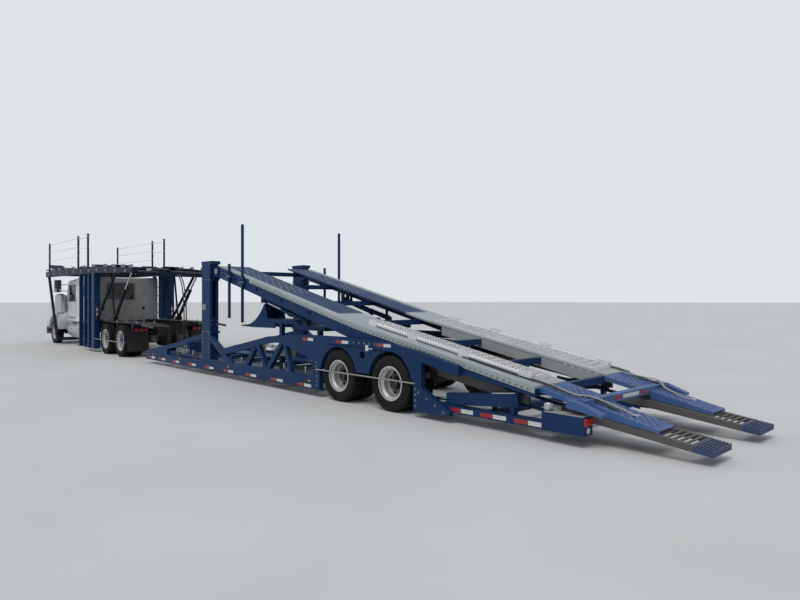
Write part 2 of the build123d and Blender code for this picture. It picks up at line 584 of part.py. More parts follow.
barrel = drum(HOOD_PIVOT_X, HOOD_PIVOT_Z, hinge_y, 18) + \
    block((HOOD_PIVOT_X - 10, HOOD_PIVOT_X + 30), hinge_y, (HOOD_PIVOT_Z, 720))
barrel -= drum(HOOD_PIVOT_X, HOOD_PIVOT_Z, (hinge_y[0] - 5, hinge_y[1] + 5), HINGE_R + SEAT_GAP)
hood_shell = joined(hood_outer - hood_inner, nose_frame, *both(fender, barrel))
save("hood_shell", hood_shell)

# Grille: surround bars and upright slats inside the nose frame
grille_half = grille_hole_half - SEAT_GAP
grille_x = (HOOD_FRONT_X - 45, HOOD_FRONT_X - 15)
grille_z = (680 + NOSE_BAR + SEAT_GAP, 1540)
slats = [block(grille_x, (y - 9, y + 9), grille_z) for y in range(-380, 381, 76)]
grille_rails = [block(grille_x, (-grille_half, grille_half), (z, z + 30))
                for z in (grille_z[0], 1115, grille_z[1] - 30)]
save("grille", joined(*slats, *grille_rails))

# Headlamps: a pair of lenses in each fender's face
lamp = block((HOOD_FRONT_X - 70, HOOD_FRONT_X - 12), (640 + SEAT_GAP, 1020 - SEAT_GAP),
             (730 + SEAT_GAP, 910 - SEAT_GAP))
save("headlamps", *both(lamp))

# Fuel tanks and steps: a round tank under the cab on each side, hung from the rails
TANK_R = 300
TANK_STRAPS = (16600, 17700)
tank_y = RAIL_IN + RAIL_T + TANK_R + 40
tank_z = 575
tank_body = rod((16350, tank_y, tank_z), (17950, tank_y, tank_z), TANK_R)
tank_body = fillet(tank_body.edges().filter_by(GeomType.CIRCLE), 45)
tank = joined(tank_body, *[rod((x - 35, tank_y, tank_z), (x + 35, tank_y, tank_z), TANK_R + 6)
                           for x in TANK_STRAPS],
              *[block((x - 40, x + 40), (RAIL_IN + RAIL_T, tank_y), (tank_z - 30, tank_z + 180))
                for x in TANK_STRAPS],
              *[block((x, x + 420), (tank_y + 60, 1110), (z, z + 35))
                for x, z in ((17300, 610), (17300, 850), (16450, 610))])
save("fuel_tanks", *both(tank))

# Rear towers of the rack: columns beside the sleeper with a ladder each, from rail to rack
TOWER_IN = RACK_OUT - 180
TOWER_REAR_X = 14000
tower_out = RACK_OUT
tower_z = (110, RACK_BEAM_TOP - RACK_BEAM_DEPTH)
# Columns: rear face, front face, inner side
TOWER_COLUMNS = [(TOWER_REAR_X, TOWER_REAR_X + 300, TOWER_IN), (14560, 14700, TOWER_IN),
                 (15020, 15090, TOWER_IN + 60), (15560, 15630, TOWER_IN + 60)]
tower_columns = [block((rear, front), (inner, tower_out), tower_z) for rear, front, inner in TOWER_COLUMNS]
tower_ties = [block((14290, 15030), (TOWER_IN + 80, tower_out - 40), (z, z + 90))
              for z in (110, 900, 1700)]
rungs = [block((15080, 15570), (TOWER_IN + 90, tower_out - 50), (z, z + 35)) for z in range(300, 2400, 300)]
tower = joined(*tower_columns, *tower_ties, *rungs)
outrigger = block((14020, 14280), (RAIL_IN + RAIL_T, TOWER_IN), (FRAME_TOP - 200, FRAME_TOP - 60))
# Thin guard rod in front of the drive wheels, held by the tower and a hanger behind the wheels
GUARD_R = 12
guard_rear_x = DRIVE_REAR_X - 560
hanger_x = (guard_rear_x - 20, guard_rear_x + 20)
guard = joined(rod((guard_rear_x, tower_out - 12, 430), (TOWER_REAR_X + 20, tower_out - 12, 430), GUARD_R),
               block(hanger_x, (1060, tower_out), (410, 500)),
               block(hanger_x, (1060, 1100), (410, LOWER_DECK_Z - FLOOR_SHEET)))
save("tractor_towers", *both(joined(tower, outrigger, guard)))

# Rack frame: side beams over the cab and behind it, cross tubes, front legs and poles
beam_y = (RACK_OUT - 150, RACK_OUT)
beam_low = RACK_BEAM_TOP - RACK_BEAM_DEPTH
side_beam = band([(RACK_REAR_X, 2560), (13900, RACK_BEAM_TOP), (20050, RACK_BEAM_TOP + 30)],
                 [140, RACK_BEAM_DEPTH, RACK_BEAM_DEPTH], beam_y)
front_leg = strut((19760, RACK_BEAM_TOP - 40), (18560, 200), 110, (RACK_OUT - 75, RACK_OUT))
leg_foot = block((18470, 18650), (RAIL_IN + RAIL_T, RACK_OUT), (150, 260))
leg_hanger = block((18500, 18620), (RAIL_IN + RAIL_T, RAIL_IN + RAIL_T + 90), (250, FRAME_TOP - 60))
strut_y = RACK_OUT - 75
rear_strut = rod((13950, strut_y, 1040), (12100, strut_y, 2560), 42)
strut_foot = block((13900, TOWER_REAR_X), (strut_y - 45, strut_y + 45), (980, 1100))
pole_bases = [19640, 15870, 14780]
rack_poles = [rod((x, RACK_OUT - 40, RACK_BEAM_TOP - 60), (x, RACK_OUT - 40, POLE_TOP), 32)
              for x in pole_bases]
# Rack floor line: x, upper face of the runways
RACK_SHEET = 40
rack_floor = [(RACK_REAR_X + 20, 2480), (13900, 2670), (19000, 2700), (RACK_FRONT_X, 2880)]
RACK_TUBE = 100


def rack_tube(x):
    start, end = next((a, b) for a, b in zip(rack_floor, rack_floor[1:]) if a[0] <= x <= b[0])
    rise = abs(end[1] - start[1]) / (end[0] - start[0]) * RACK_TUBE / 2
    return cross_tube(x, lerp(start, end, x) - RACK_SHEET - rise - SEAT_GAP, beam_y[0] + 10, RACK_TUBE)


rack_cross = [rack_tube(x) for x in (RACK_REAR_X + 120, 12300, 13800, 15400, 17000, 18500, 19900)]
rack_frame = joined(*both(side_beam, front_leg, leg_foot, leg_hanger, rear_strut, strut_foot, *rack_poles),
                    *rack_cross)
save("rack_frame", rack_frame)

# Rack runways: two tracks over the cab, raised at the front, and two behind it
runway_y = (520, beam_y[0] - 5)
rack_runway = band(rack_floor, [RACK_SHEET] * len(rack_floor), runway_y)
save("rack_runways", *both(rack_runway))

# Lower deck of the tractor: plates over the drive wheels on cross tubes
lower_deck_out = TOWER_IN - 10
lower_plate = block((10600, 14650), (560, lower_deck_out), (LOWER_DECK_Z - FLOOR_SHEET, LOWER_DECK_Z))
lower_cross = [block((x - 45, x + 45), (-lower_deck_out, lower_deck_out),
                     (FRAME_TOP, LOWER_DECK_Z - FLOOR_SHEET))
               for x in (11120, 12445, 13700, 14500)]
save("tractor_lower_deck", joined(*both(lower_plate), *lower_cross))

# Trailer side frames: low rail, sloping chord, truss, wheel arches and the tower
side_y = (SIDE_IN, HALF_WIDTH)
GUARD_Y = HALF_WIDTH + 14
tower_front_x = TOWER_BACK_X + TOWER_LENGTH
nose_tops = [(NOSE_X, 330), (7540, 650), (6740, 815), (tower_front_x, 900)]
nose_plate = prism([(NOSE_X, RAIL_BOTTOM - 20), *nose_tops, (TOWER_BACK_X, 930),
                    (TOWER_BACK_X, RAIL_BOTTOM - 20)], side_y)
NOSE_CHORD = 105
nose_window = prism([(8200, RAIL_TOP - 60), (8200, lerp(*nose_tops[:2], 8200) - NOSE_CHORD),
                     (7540, 650 - NOSE_CHORD), (6740, 815 - NOSE_CHORD),
                     (tower_front_x + 25, 895 - NOSE_CHORD), (tower_front_x + 25, RAIL_TOP - 60)],
                    (SIDE_IN - 10, HALF_WIDTH + 10))
low_rail = block((1760, TOWER_BACK_X + 10), side_y, (RAIL_BOTTOM, RAIL_TOP))
chord_tops = [(5300, 620), (3420, 970), (2340, 1050), (1060, 1060), (200, 1040), (-610, 930), (-1350, 780)]
chord = band(chord_tops, [CHORD_DEPTH] * len(chord_tops), side_y)
brace = strut((TOWER_BACK_X + 60, 860), (4900, RAIL_TOP - 40), 120, side_y)
# Truss members: foot x, foot z, head x, head z
TRUSS = [(4310, 300, 3860, 830), (3500, 300, 3860, 830), (3500, 300, 2890, 950), (2650, 300, 2890, 950)]
truss = [strut((x0, z0), (x1, z1), 90, side_y) for x0, z0, x1, z1 in TRUSS]
arch_plate = prism([(2900, 960), (-670, 860), (-670, 80), (-510, 80), (-510, 520), (1760, 520),
                    (1760, 140), (1960, 140), (1960, 620), (2900, 860)], side_y)
arch_holes = [drum(x, TRAILER_TYRE_R, (SIDE_IN - 10, HALF_WIDTH + 10), TRAILER_TYRE_R + ARCH_GAP)
              for x in (0, TRAILER_AXLE_GAP)]
gusset = prism([(-510, 80), (-1200, 100), (-1200, 160), (-670, 420), (-510, 420)], side_y)
tower_y = (HALF_WIDTH - TOWER_WIDTH, HALF_WIDTH)
TOWER_WALL = 14
SLOT_HALF = 38
tower_mid_y = (tower_y[0] + tower_y[1]) / 2
trailer_tower = block((TOWER_BACK_X, TOWER_BACK_X + TOWER_LENGTH), tower_y, (RAIL_BOTTOM, TOWER_TOP))
trailer_tower -= block((TOWER_BACK_X + TOWER_WALL, TOWER_BACK_X + TOWER_LENGTH - TOWER_WALL),
                       (tower_y[0] + TOWER_WALL, tower_y[1] - TOWER_WALL), (900, TOWER_TOP - TOWER_WALL))
trailer_tower -= block((TOWER_BACK_X - 5, TOWER_BACK_X + TOWER_WALL + 5),
                       (tower_mid_y - SLOT_HALF, tower_mid_y + SLOT_HALF), (1290, 2080))
# Toothed rack behind the slot
rack_x = TOWER_BACK_X + TOWER_LENGTH / 2
tower_rack = block((rack_x, tower_front_x - TOWER_WALL + 1), (tower_mid_y - 30, tower_mid_y + 30),
                   (1290, 2080)) - \
    joined(*[block((rack_x - 5, rack_x + 30), (tower_mid_y - 35, tower_mid_y + 35), (z, z + 22))
             for z in range(1310, 2060, 52)])


def tower_ring(behind, ahead, inside, zs):
    """A plate round the tower that stands proud of its rear, front and inner faces."""
    return block((TOWER_BACK_X - behind, tower_front_x + ahead), (tower_y[0] - inside, HALF_WIDTH), zs)


# Collar round the tower's foot, a clamp near its head and the cap
collar = tower_ring(45, 25, 20, (930, 975))
head_clamp = tower_ring(30, 18, 12, (2085, 2118))
tower_cap = tower_ring(60, 20, 15, (TOWER_TOP - 5, TOWER_TOP + 65))
lug_in = (ARM_OUT - ARM_T - 22, ARM_OUT - ARM_T - 2)
lug_out = (ARM_OUT + 2, ARM_OUT + 22)
lugs = [prism([(DECK_PIVOT_X - 90, DECK_PIVOT_Z - 90), (DECK_PIVOT_X - 90, DECK_PIVOT_Z + 90),
               (TOWER_BACK_X + 30, DECK_PIVOT_Z + 90), (TOWER_BACK_X + 30, DECK_PIVOT_Z - 160)], ys)
        for ys in (lug_in, lug_out)]
lug_root = block((TOWER_BACK_X - 2, TOWER_BACK_X + 35), (lug_in[0], tower_y[0] + 10),
                 (DECK_PIVOT_Z - 160, DECK_PIVOT_Z + 90))
PIN_R = 32
deck_pin = drum(DECK_PIVOT_X, DECK_PIVOT_Z, (lug_in[0] - 15, lug_out[1] + 15), PIN_R)
wheel_guard = joined(rod((-560, GUARD_Y, 480), (1840, GUARD_Y, 480), GUARD_R),
                     *[block((x - 20, x + 20), (HALF_WIDTH - 2, GUARD_Y), (465, 495))
                       for x in (-545, 1820)])
spring_window = block((TRAILER_AXLE_GAP / 2 - 60, TRAILER_AXLE_GAP / 2 + 60),
                      (SIDE_IN - 10, HALF_WIDTH + 10), (750, 850))
side_solid = joined(nose_plate - nose_window, low_rail, chord, brace, *truss,
                    arch_plate, gusset) - joined(*arch_holes, spring_window)
side_left = joined(side_solid, wheel_guard, trailer_tower, tower_rack, collar, head_clamp,
                   tower_cap, *lugs, lug_root, deck_pin)
save("trailer_side_left", side_left)
save("trailer_side_right", other_side(side_left))

# Trailer floor: cross tubes, wheel tracks, inner beams and the coupler over the ball
FITTING_TOP = 600
HOSE_Y = 32
tube_half = SIDE_IN
floor_tubes = [block((x - 50, x + 50), (-tube_half, tube_half), (RAIL_BOTTOM + 10, RAIL_BOTTOM + 110))
               for x in (2400, 3400, 4400, 5400, 6600, 7700, 8700, NOSE_X - 50)]
track = band([(2350, 275), (9530, 275)], [40, 40], (450, 950))
tongue = joined(block((NOSE_X - 400, BALL_X - 60), (-120, 120), (BALL_Z - 30, BALL_Z + 90)),
                block((NOSE_X - 420, NOSE_X - 300), (-300, 300), (RAIL_BOTTOM + 20, BALL_Z + 90)),
                Pos(BALL_X, 0, BALL_Z + 45) * Cylinder(120, 130),
                *both(rod((BALL_X - 20, HOSE_Y, BALL_Z + 100), (BALL_X - 20, HOSE_Y, FITTING_TOP), 22))) - \
    Pos(BALL_X, 0, BALL_Z) * Sphere(BALL_R + SEAT_GAP)
tongue_floor = block((8650, NOSE_X - 100), (-300, 300), (RAIL_BOTTOM + 20, RAIL_BOTTOM + 100))
save("trailer_floor", joined(*floor_tubes, *both(track), tongue, tongue_floor))

# Trailer axles: tubes, hanger beams and leaf springs, tied to the side frames
axle_half = trailer_outer_y + 40
hanger_y = (470, 560)
BRIDGE_X = 2150
inner_beam = block((-900, 2450), hanger_y, (640, 760))
bridge = [block((x - 50, x + 50), (-tube_half, tube_half), (low, low + 80))
          for x, low in ((620, 760), (BRIDGE_X, 760), (-700, 560))]
axle_tubes = [joined(drum(x, TRAILER_TYRE_R, (-axle_half, axle_half), HUB_R),
                     *both(block((x - 60, x + 60), hanger_y, (TRAILER_TYRE_R, 645))))
              for x in (0, TRAILER_AXLE_GAP)]
save("trailer_axles", joined(*both(inner_beam), *bridge, *axle_tubes))

# Rear frame of the trailer: rails behind the wheels, lamp boxes, ramp guides and fold arms
rear_y = (SIDE_IN - 155, SIDE_IN)
rear_rail = block((-2700, -520), rear_y, (140, 230))
lamp_box = block((-3140, -2600), (1040, 1240), (140, 350))
rear_tubes = [block((x - 45, x + 45), (-1100, 1100), (140, 220)) for x in (-900, -1700, -2600)]
# Fold arm of the ramps: a sloping box with a cylinder rod at each of its ends
FOLD_Y = 1120
fold_tops = [(-1015, 385), (-2200, 500)]
fold_arm = joined(band(fold_tops, [165, 165], (FOLD_Y - 35, FOLD_Y + 35)),
                  rod((-560, FOLD_Y, 268), (-1030, FOLD_Y, 300), 22),
                  rod((-1700, FOLD_Y, 447), (-2170, FOLD_Y, 503), 16),
                  block((-650, -590), (FOLD_Y - 40, FOLD_Y + 40), (220, 320)),
                  block((-2195, -2150), (FOLD_Y - 25, FOLD_Y + 25), (450, 524)),
                  block((-2150, -2090), (FOLD_Y - 40, FOLD_Y + 40), (220, 380)))
ramp_slope = (RAMP_FRONT_Z - RAMP_TIP_Z) / (RAMP_FRONT_X - RAMP_TIP_X)
guide_front = (-1430, RAMP_FRONT_Z - RAMP_FRONT_DEPTH - SEAT_GAP + ramp_slope * (RAMP_FRONT_X + 1430) * -1)
guide_tops = [(-2980, RAMP_FRONT_Z - RAMP_FRONT_DEPTH - SEAT_GAP - 280 * ramp_slope),
              (RAMP_FRONT_X, RAMP_FRONT_Z - RAMP_FRONT_DEPTH - SEAT_GAP), guide_front]
guides = [band(guide_tops, [40] * 3, ys) for ys in ((RAMP_IN, RAMP_IN + 35), (RAMP_OUT - 35, RAMP_OUT))]
guide_posts = [block((x - 30, x + 30), ys, (200, top)) for x, top in ((-2600, 290), (-1700, 420))
               for ys in ((RAMP_IN, RAMP_IN + 35), (RAMP_OUT - 35, RAMP_OUT))]
save("trailer_rear_frame", joined(*both(rear_rail, lamp_box, fold_arm, *guides, *guide_posts), *rear_tubes))

# Middle deck: a short frame over the front wheels with its curved flippers
mid_y = (560, 1050)
MID_DECK_T = 80
mid_tops = [(3680, 1290), (2900, 1290), (2750, 1190), (1950, 1190)]
mid_beam = band(mid_tops, [MID_DECK_T] * 4, mid_y)
mid_posts = [block((x - 40, x + 40), (960, 1040), (foot, head))
             for x, foot, head in ((BRIDGE_X, 840, 1120), (3400, 240, 1220))]
# Wheel pocket at the front of the middle deck: it sweeps up to the rear between two side plates
FLIP_X = 4900
FLIP_R = 1015
flip_z = 1130 + FLIP_R
FLIP_Y = (600, 1000)
FLIP_SHEET = 16
flip_sheet = drum(FLIP_X, flip_z, FLIP_Y, FLIP_R + FLIP_SHEET) - \
    drum(FLIP_X, flip_z, (FLIP_Y[0] - 10, FLIP_Y[1] + 10), FLIP_R)
flip_sheet &= block((4030, FLIP_X + 90), (FLIP_Y[0] - 10, FLIP_Y[1] + 10), (1000, 1580))
flip_side = [(3640, 1108), (4500, 1100), (4990, 1112), (4990, 1200), (4100, 1520), (4060, 1580),
             (4010, 1560), (3930, 1290), (3640, 1290)]
flip_sides = [prism(flip_side, ys) - drum(FLIP_X, flip_z, (min(ys) - 10, max(ys) + 10), FLIP_R + 1)
              for ys in ((FLIP_Y[0] - 12, FLIP_Y[0] + 1), (FLIP_Y[1] - 1, FLIP_Y[1] + 12))]
# Cheeks for the eye of the deck's lift cylinder; the cylinder itself hangs from the deck
LIFT_Y = 1005
LIFT_EYE_X, LIFT_EYE_Z = 2560, 1262
LIFT_EYE_R = 45
LIFT_EYE_HALF = 32
cheek_outline = [(LIFT_EYE_X - 70, 1188), (LIFT_EYE_X - 40, LIFT_EYE_Z + 45),
                 (LIFT_EYE_X + 40, LIFT_EYE_Z + 45), (LIFT_EYE_X + 70, 1188)]
cheek_in = LIFT_EYE_HALF + 5
lift_cheeks = [prism(cheek_outline, ys)
               for ys in ((LIFT_Y - 50, LIFT_Y - cheek_in), (LIFT_Y + cheek_in, LIFT_Y + 50))]
lift_seat = block((LIFT_EYE_X - 90, LIFT_EYE_X + 90), (LIFT_Y - 50, LIFT_Y + 50), (1180, 1192))
save("trailer_middle_deck", *both(joined(mid_beam, *mid_posts, flip_sheet, *flip_sides, *lift_cheeks,
                                       lift_seat)))

# Upper deck frame: two arms with a knee, cross tubes, and the poles that hang on them
deck_tops = [(DECK_PIVOT_X, DECK_FRONT_Z), (DECK_KNEE_X, DECK_KNEE_Z), (DECK_REAR_X, DECK_REAR_Z)]
arm_y = (ARM_OUT - ARM_T, ARM_OUT)


def deck_z(x):
    front, knee, rear = deck_tops
    return lerp(front, knee, x) if x > DECK_KNEE_X else lerp(knee, rear, x)


arm = band(deck_tops, [ARM_DEPTH, ARM_DEPTH, ARM_REAR_DEPTH], arm_y)
arm_eye = drum(DECK_PIVOT_X, DECK_PIVOT_Z, arm_y, 120)
pin_hole = drum(DECK_PIVOT_X, DECK_PIVOT_Z, (arm_y[0] - 10, ARM_OUT + 10), PIN_R + SEAT_GAP)
arm = joined(arm, arm_eye) - pin_hole
deck_cross = [cross_tube(x, deck_z(x) - 15, arm_y[0] + 10, 90)
              for x in (5300, 4000, 2600, 1200, -250, -1400, DECK_REAR_X + 60)]
# Poles: x, low z, high z
DECK_POLES = [(4530, 1200, 3200), (5090, 1280, 2420)]
deck_poles = [joined(rod((x, ARM_OUT + 32, low), (x, ARM_OUT + 32, high), 30),
                     block((x - 45, x + 45), (ARM_OUT - 5, ARM_OUT + 40),
                           (deck_z(x) - 160, deck_z(x) - 40)))
              for x, low, high in DECK_POLES]
# Lift cylinder: its barrel is pinned to lugs under a cross tube, and its rod ends in an eye
LIFT_HEAD_X = 4000
lift_head_z = deck_z(LIFT_HEAD_X) - 330
lift_line = Vector(LIFT_EYE_X - LIFT_HEAD_X, 0, LIFT_EYE_Z - lift_head_z).normalized()
lift_head = Vector(LIFT_HEAD_X, LIFT_Y, lift_head_z)
lift_eye = Vector(LIFT_EYE_X, LIFT_Y, LIFT_EYE_Z)
BARREL_LENGTH = 980
lift = joined(rod(lift_head, lift_head + lift_line * BARREL_LENGTH, 55),
              rod(lift_head + lift_line * (BARREL_LENGTH - 70), lift_head + lift_line * BARREL_LENGTH, 66),
              rod(lift_head + lift_line * BARREL_LENGTH, lift_eye, 28),
              drum(LIFT_EYE_X, LIFT_EYE_Z, (LIFT_Y - LIFT_EYE_HALF, LIFT_Y + LIFT_EYE_HALF), LIFT_EYE_R),
              drum(LIFT_HEAD_X, lift_head_z, (LIFT_Y - 62, LIFT_Y + 62), 62))
lift_lugs = [block((LIFT_HEAD_X - 60, LIFT_HEAD_X + 60), ys, (lift_head_z - 60, deck_z(LIFT_HEAD_X) - 60))
             for ys in ((LIFT_Y - 74, LIFT_Y - 60), (LIFT_Y + 60, LIFT_Y + 74))]
# Perforated web under the rear of the deck, inside each arm
web_tops = [(-500, deck_z(-500) - 5), (-2200, deck_z(-2200) - 5)]
web = band(web_tops, [150, 150], (900, 912))
web_holes = [drum(x, deck_z(x) - 80, (890, 920), 32) for x in range(-2120, -540, 130)]
# Pockets in the outer face of the arm
arm_pockets = [block((x - 60, x + 60), (ARM_OUT - 20, ARM_OUT + 5), (deck_z(x) - 150, deck_z(x) - 90))
               for x in (4880, 3980, 3080, 2180)]
save("deck_frame", joined(*both(arm - joined(*arm_pockets), *deck_poles, lift, *lift_lugs,
                                web - joined(*web_holes)), *deck_cross))

# Runways of the upper deck, one sheet on each side that also covers the arm
runway_tops = [(5560, deck_z(5560) + FLOOR_SHEET), (DECK_KNEE_X, DECK_KNEE_Z + FLOOR_SHEET),
               (DECK_REAR_X, DECK_REAR_Z + FLOOR_SHEET)]
runway = band(runway_tops, [FLOOR_SHEET] * 3, (RUNWAY_IN, ARM_OUT))
# Lip along the outer edge of the runway, with a row of lashing holes
LIP_FRONT_X = 4300
LIP_DEPTH = 85
LIP_T = 10
lip_tops = [(LIP_FRONT_X, deck_z(LIP_FRONT_X) + FLOOR_SHEET), *runway_tops[1:]]
lip = joined(band(lip_tops, [LIP_DEPTH] * 3, (ARM_OUT + SEAT_GAP, ARM_OUT + LIP_T)),
             band(lip_tops, [FLOOR_SHEET] * 3, (ARM_OUT - 1, ARM_OUT + LIP_T)))
lip_holes = [block((x, x + 46), (ARM_OUT + 0.5, ARM_OUT + LIP_T + 5), (deck_z(x) - 42, deck_z(x) - 12))
             for x in range(DECK_REAR_X + 60, LIP_FRONT_X - 100, 92)]
save("deck_runways", *both(joined(runway, lip) - joined(*lip_holes)))

# Raised skids on the runways: a waffle plate beside a round rail with its sleeves
SKID_T = 45
skid_x = (-2300, 800)
skid_base = FLOOR_SHEET
skid_tops = [(x, deck_z(x) + skid_base + SKID_T) for x in (skid_x[1], skid_x[0])]
skid = band(skid_tops, [SKID_T - SEAT_GAP] * 2, (600, 940))
skid_slots = [block((x, x + 95), (y, y + 62), (deck_z(x) - 200, deck_z(x) + 300))
              for x in range(-2250, 700, 145) for y in (618, 698, 778, 858)]
SKID_RAIL_R = 34
SLEEVE = 84
rail_rise = skid_base + SLEEVE / 2
rail_y = 940 + SLEEVE / 2 - 2
skid_rail = rod((skid_x[1], rail_y, deck_z(skid_x[1]) + rail_rise),
                (skid_x[0], rail_y, deck_z(skid_x[0]) + rail_rise), SKID_RAIL_R)
sleeve_top = skid_base + SLEEVE
sleeves = [band([(x + 90, deck_z(x + 90) + sleeve_top), (x - 90, deck_z(x - 90) + sleeve_top)],
                [SLEEVE - SEAT_GAP] * 2, (rail_y - SLEEVE / 2, rail_y + SLEEVE / 2))
           for x in (-2205, -1200, -200, 705)]
skid_nose_x = skid_x[1] + 130
skid_front = band([(skid_nose_x, deck_z(skid_nose_x) + skid_base + 8), skid_tops[0]],
                  [8 - SEAT_GAP, SKID_T - SEAT_GAP], (600, 940))
save("deck_skids", *both(joined(skid - joined(*skid_slots), skid_front, skid_rail, *sleeves)))

# Rear end of the deck: perforated flippers, the end beam with its cheeks, and tapered flaps
flip_tops = [(DECK_REAR_X, DECK_REAR_Z + 10), (-3000, 500)]
flipper = tray(flip_tops, [60, 60], (470, 1100), 15, 15)
flipper_holes = slots(staggered(range(-2920, -2540, 95), range(525, 1060, 58), 45), 62, 30, (300, 800))
end_beam = block((-3090, -2990), (-1100, 1100), (430, 520))
cheek = prism([(-2900, 525), (-3060, 500), (-3330, 400), (-3330, 370), (-2900, 430)], (1090, 1200))
ramp_line = [(RAMP_FRONT_X, RAMP_FRONT_Z), (RAMP_TIP_X, RAMP_TIP_Z)]


def ramp_z(x):
    return lerp(ramp_line[0], ramp_line[1], x)


# Flap: tapered tray that lies over the ramp, a running gap above it
FLAP_REAR_X = -3860
FLAP_Y = (560, 960)
flap_front = (-3080, ramp_z(-3080) + 120)
flap_rear = (FLAP_REAR_X, ramp_z(FLAP_REAR_X) + 45)
flap = tray([flap_front, flap_rear], [120 - RUN_GAP, 45 - RUN_GAP], FLAP_Y, 14, 14)
flap_ribs = [block((x, x + 14), FLAP_Y, (ramp_z(x) + RUN_GAP + 4, lerp(flap_front, flap_rear, x) - 5))
             for x in (-3790, -3600, -3400, -3200)]
flap_holes = slots(staggered(range(-3800, -3120, 95), range(600, 930, 58), 45), 62, 30, (200, 700))
flap = joined(flap, *flap_ribs) - flap_holes
save("deck_flaps", joined(*both(flipper - flipper_holes), end_beam, *both(cheek, flap)))

# Ramps: slotted channels with a ribbed shoe at the tip
SHOE_X = -4210
RAMP_WALL = 14
ramp = tray([(RAMP_FRONT_X, RAMP_FRONT_Z), (RAMP_TIP_X, RAMP_TIP_Z)], [RAMP_FRONT_DEPTH, RAMP_DEPTH],
            (RAMP_IN, RAMP_OUT), RAMP_WALL, RAMP_WALL)
ramp_ties = [block((x, x + RAMP_WALL), (RAMP_IN, RAMP_OUT), (ramp_z(x) - RAMP_DEPTH + 10, ramp_z(x) - 3))
             for x in (-4100, -3700, -3300, -2900, RAMP_FRONT_X - RAMP_WALL)]
shoe = band([(SHOE_X, ramp_z(SHOE_X)), (RAMP_TIP_X, RAMP_TIP_Z)], [RAMP_DEPTH] * 2, (RAMP_IN, RAMP_OUT))
shoe_grooves = [block((x, x + 16), (RAMP_IN - 5, RAMP_OUT + 5), (ramp_z(x) - 14, ramp_z(x) + 40))
                for x in range(RAMP_TIP_X + 14, SHOE_X - 20, 34)]
ramp_slots = [block((x, x + 38), (RAMP_IN + 55, RAMP_OUT - 55), (100, 500))
              for x in range(SHOE_X + 30, FLAP_REAR_X - 10, 68)]
ramp_left = joined(ramp, *ramp_ties, shoe) - joined(*shoe_grooves, *ramp_slots)
save("ramp_left", ramp_left)
save("ramp_right", other_side(ramp_left))

# Hoses between tractor and trailer: each hangs from the rack's rear tube to the coupler
HOSE_R = 16
hose_points = [(RACK_REAR_X + 70, 2390), (10610, 2390), (10460, 2330), (10330, 2190), (10240, 1990),
               (10180, 1760), (10145, 1510), (10128, 1260), (10124, 1020), (10150, 840),
               (BALL_X - 20, 700), (BALL_X - 20, FITTING_TOP)]
for name, y in (("hose_left", HOSE_Y), ("hose_right", -HOSE_Y)):
    points = [(x, y, z) for x, z in hose_points]
    runs = [(Vector(*b) - Vector(*a)).length for a, b in zip(points, points[1:])]
    turns = [(Vector(*b) - Vector(*a)).get_angle(Vector(*c) - Vector(*b))
             for a, b, c in zip(points, points[1:], points[2:])]
    radii = [0.45 * min(before, after) / sin(radians(turn) / 2) * cos(radians(turn) / 2)
             for before, after, turn in zip(runs, runs[1:], turns)]
    print(name, "bend radii in mm:", [round(radius) for radius in radii])
    path = FilletPolyline(*points, radius=radii)
    start = Plane(origin=path @ 0, z_dir=path % 0)
    save(name, sweep(start * Circle(HOSE_R), path=path))
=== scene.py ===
# %% [markdown]
# # Car transporter
# A long-nose tractor with a car rack over its cab pulls a low car trailer. The frame that is loaded
# here already holds every part at its real size and place. This script gives those parts their
# finishes and adds what is too fine for the frame: tread, bolts, lamps, reflectors and wear.

import json
from functools import reduce
from math import cos, pi, radians, sin

import bmesh
import bpy
from mathutils import Matrix, Vector


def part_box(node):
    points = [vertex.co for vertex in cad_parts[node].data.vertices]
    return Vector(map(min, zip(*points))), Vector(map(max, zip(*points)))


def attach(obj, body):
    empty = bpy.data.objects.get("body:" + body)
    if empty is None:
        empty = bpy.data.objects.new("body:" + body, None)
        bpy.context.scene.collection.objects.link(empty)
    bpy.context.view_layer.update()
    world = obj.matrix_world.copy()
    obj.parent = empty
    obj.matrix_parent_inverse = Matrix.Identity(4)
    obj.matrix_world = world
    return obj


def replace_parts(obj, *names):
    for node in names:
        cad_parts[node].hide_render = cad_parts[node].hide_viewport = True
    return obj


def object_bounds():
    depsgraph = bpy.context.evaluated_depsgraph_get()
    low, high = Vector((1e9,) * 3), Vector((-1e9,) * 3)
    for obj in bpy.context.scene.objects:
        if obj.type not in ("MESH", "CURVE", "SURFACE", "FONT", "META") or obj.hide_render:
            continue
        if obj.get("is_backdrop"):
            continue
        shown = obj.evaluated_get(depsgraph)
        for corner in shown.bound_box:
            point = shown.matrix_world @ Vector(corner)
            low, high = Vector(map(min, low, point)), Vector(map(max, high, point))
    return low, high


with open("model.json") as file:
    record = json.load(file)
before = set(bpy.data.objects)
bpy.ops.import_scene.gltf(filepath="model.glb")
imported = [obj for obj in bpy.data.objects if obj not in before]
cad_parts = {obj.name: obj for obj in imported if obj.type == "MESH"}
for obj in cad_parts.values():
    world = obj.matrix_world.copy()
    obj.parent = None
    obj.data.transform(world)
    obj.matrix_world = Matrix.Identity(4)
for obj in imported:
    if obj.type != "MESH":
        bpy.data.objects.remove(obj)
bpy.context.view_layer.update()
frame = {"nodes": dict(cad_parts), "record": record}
nodes = frame["nodes"]
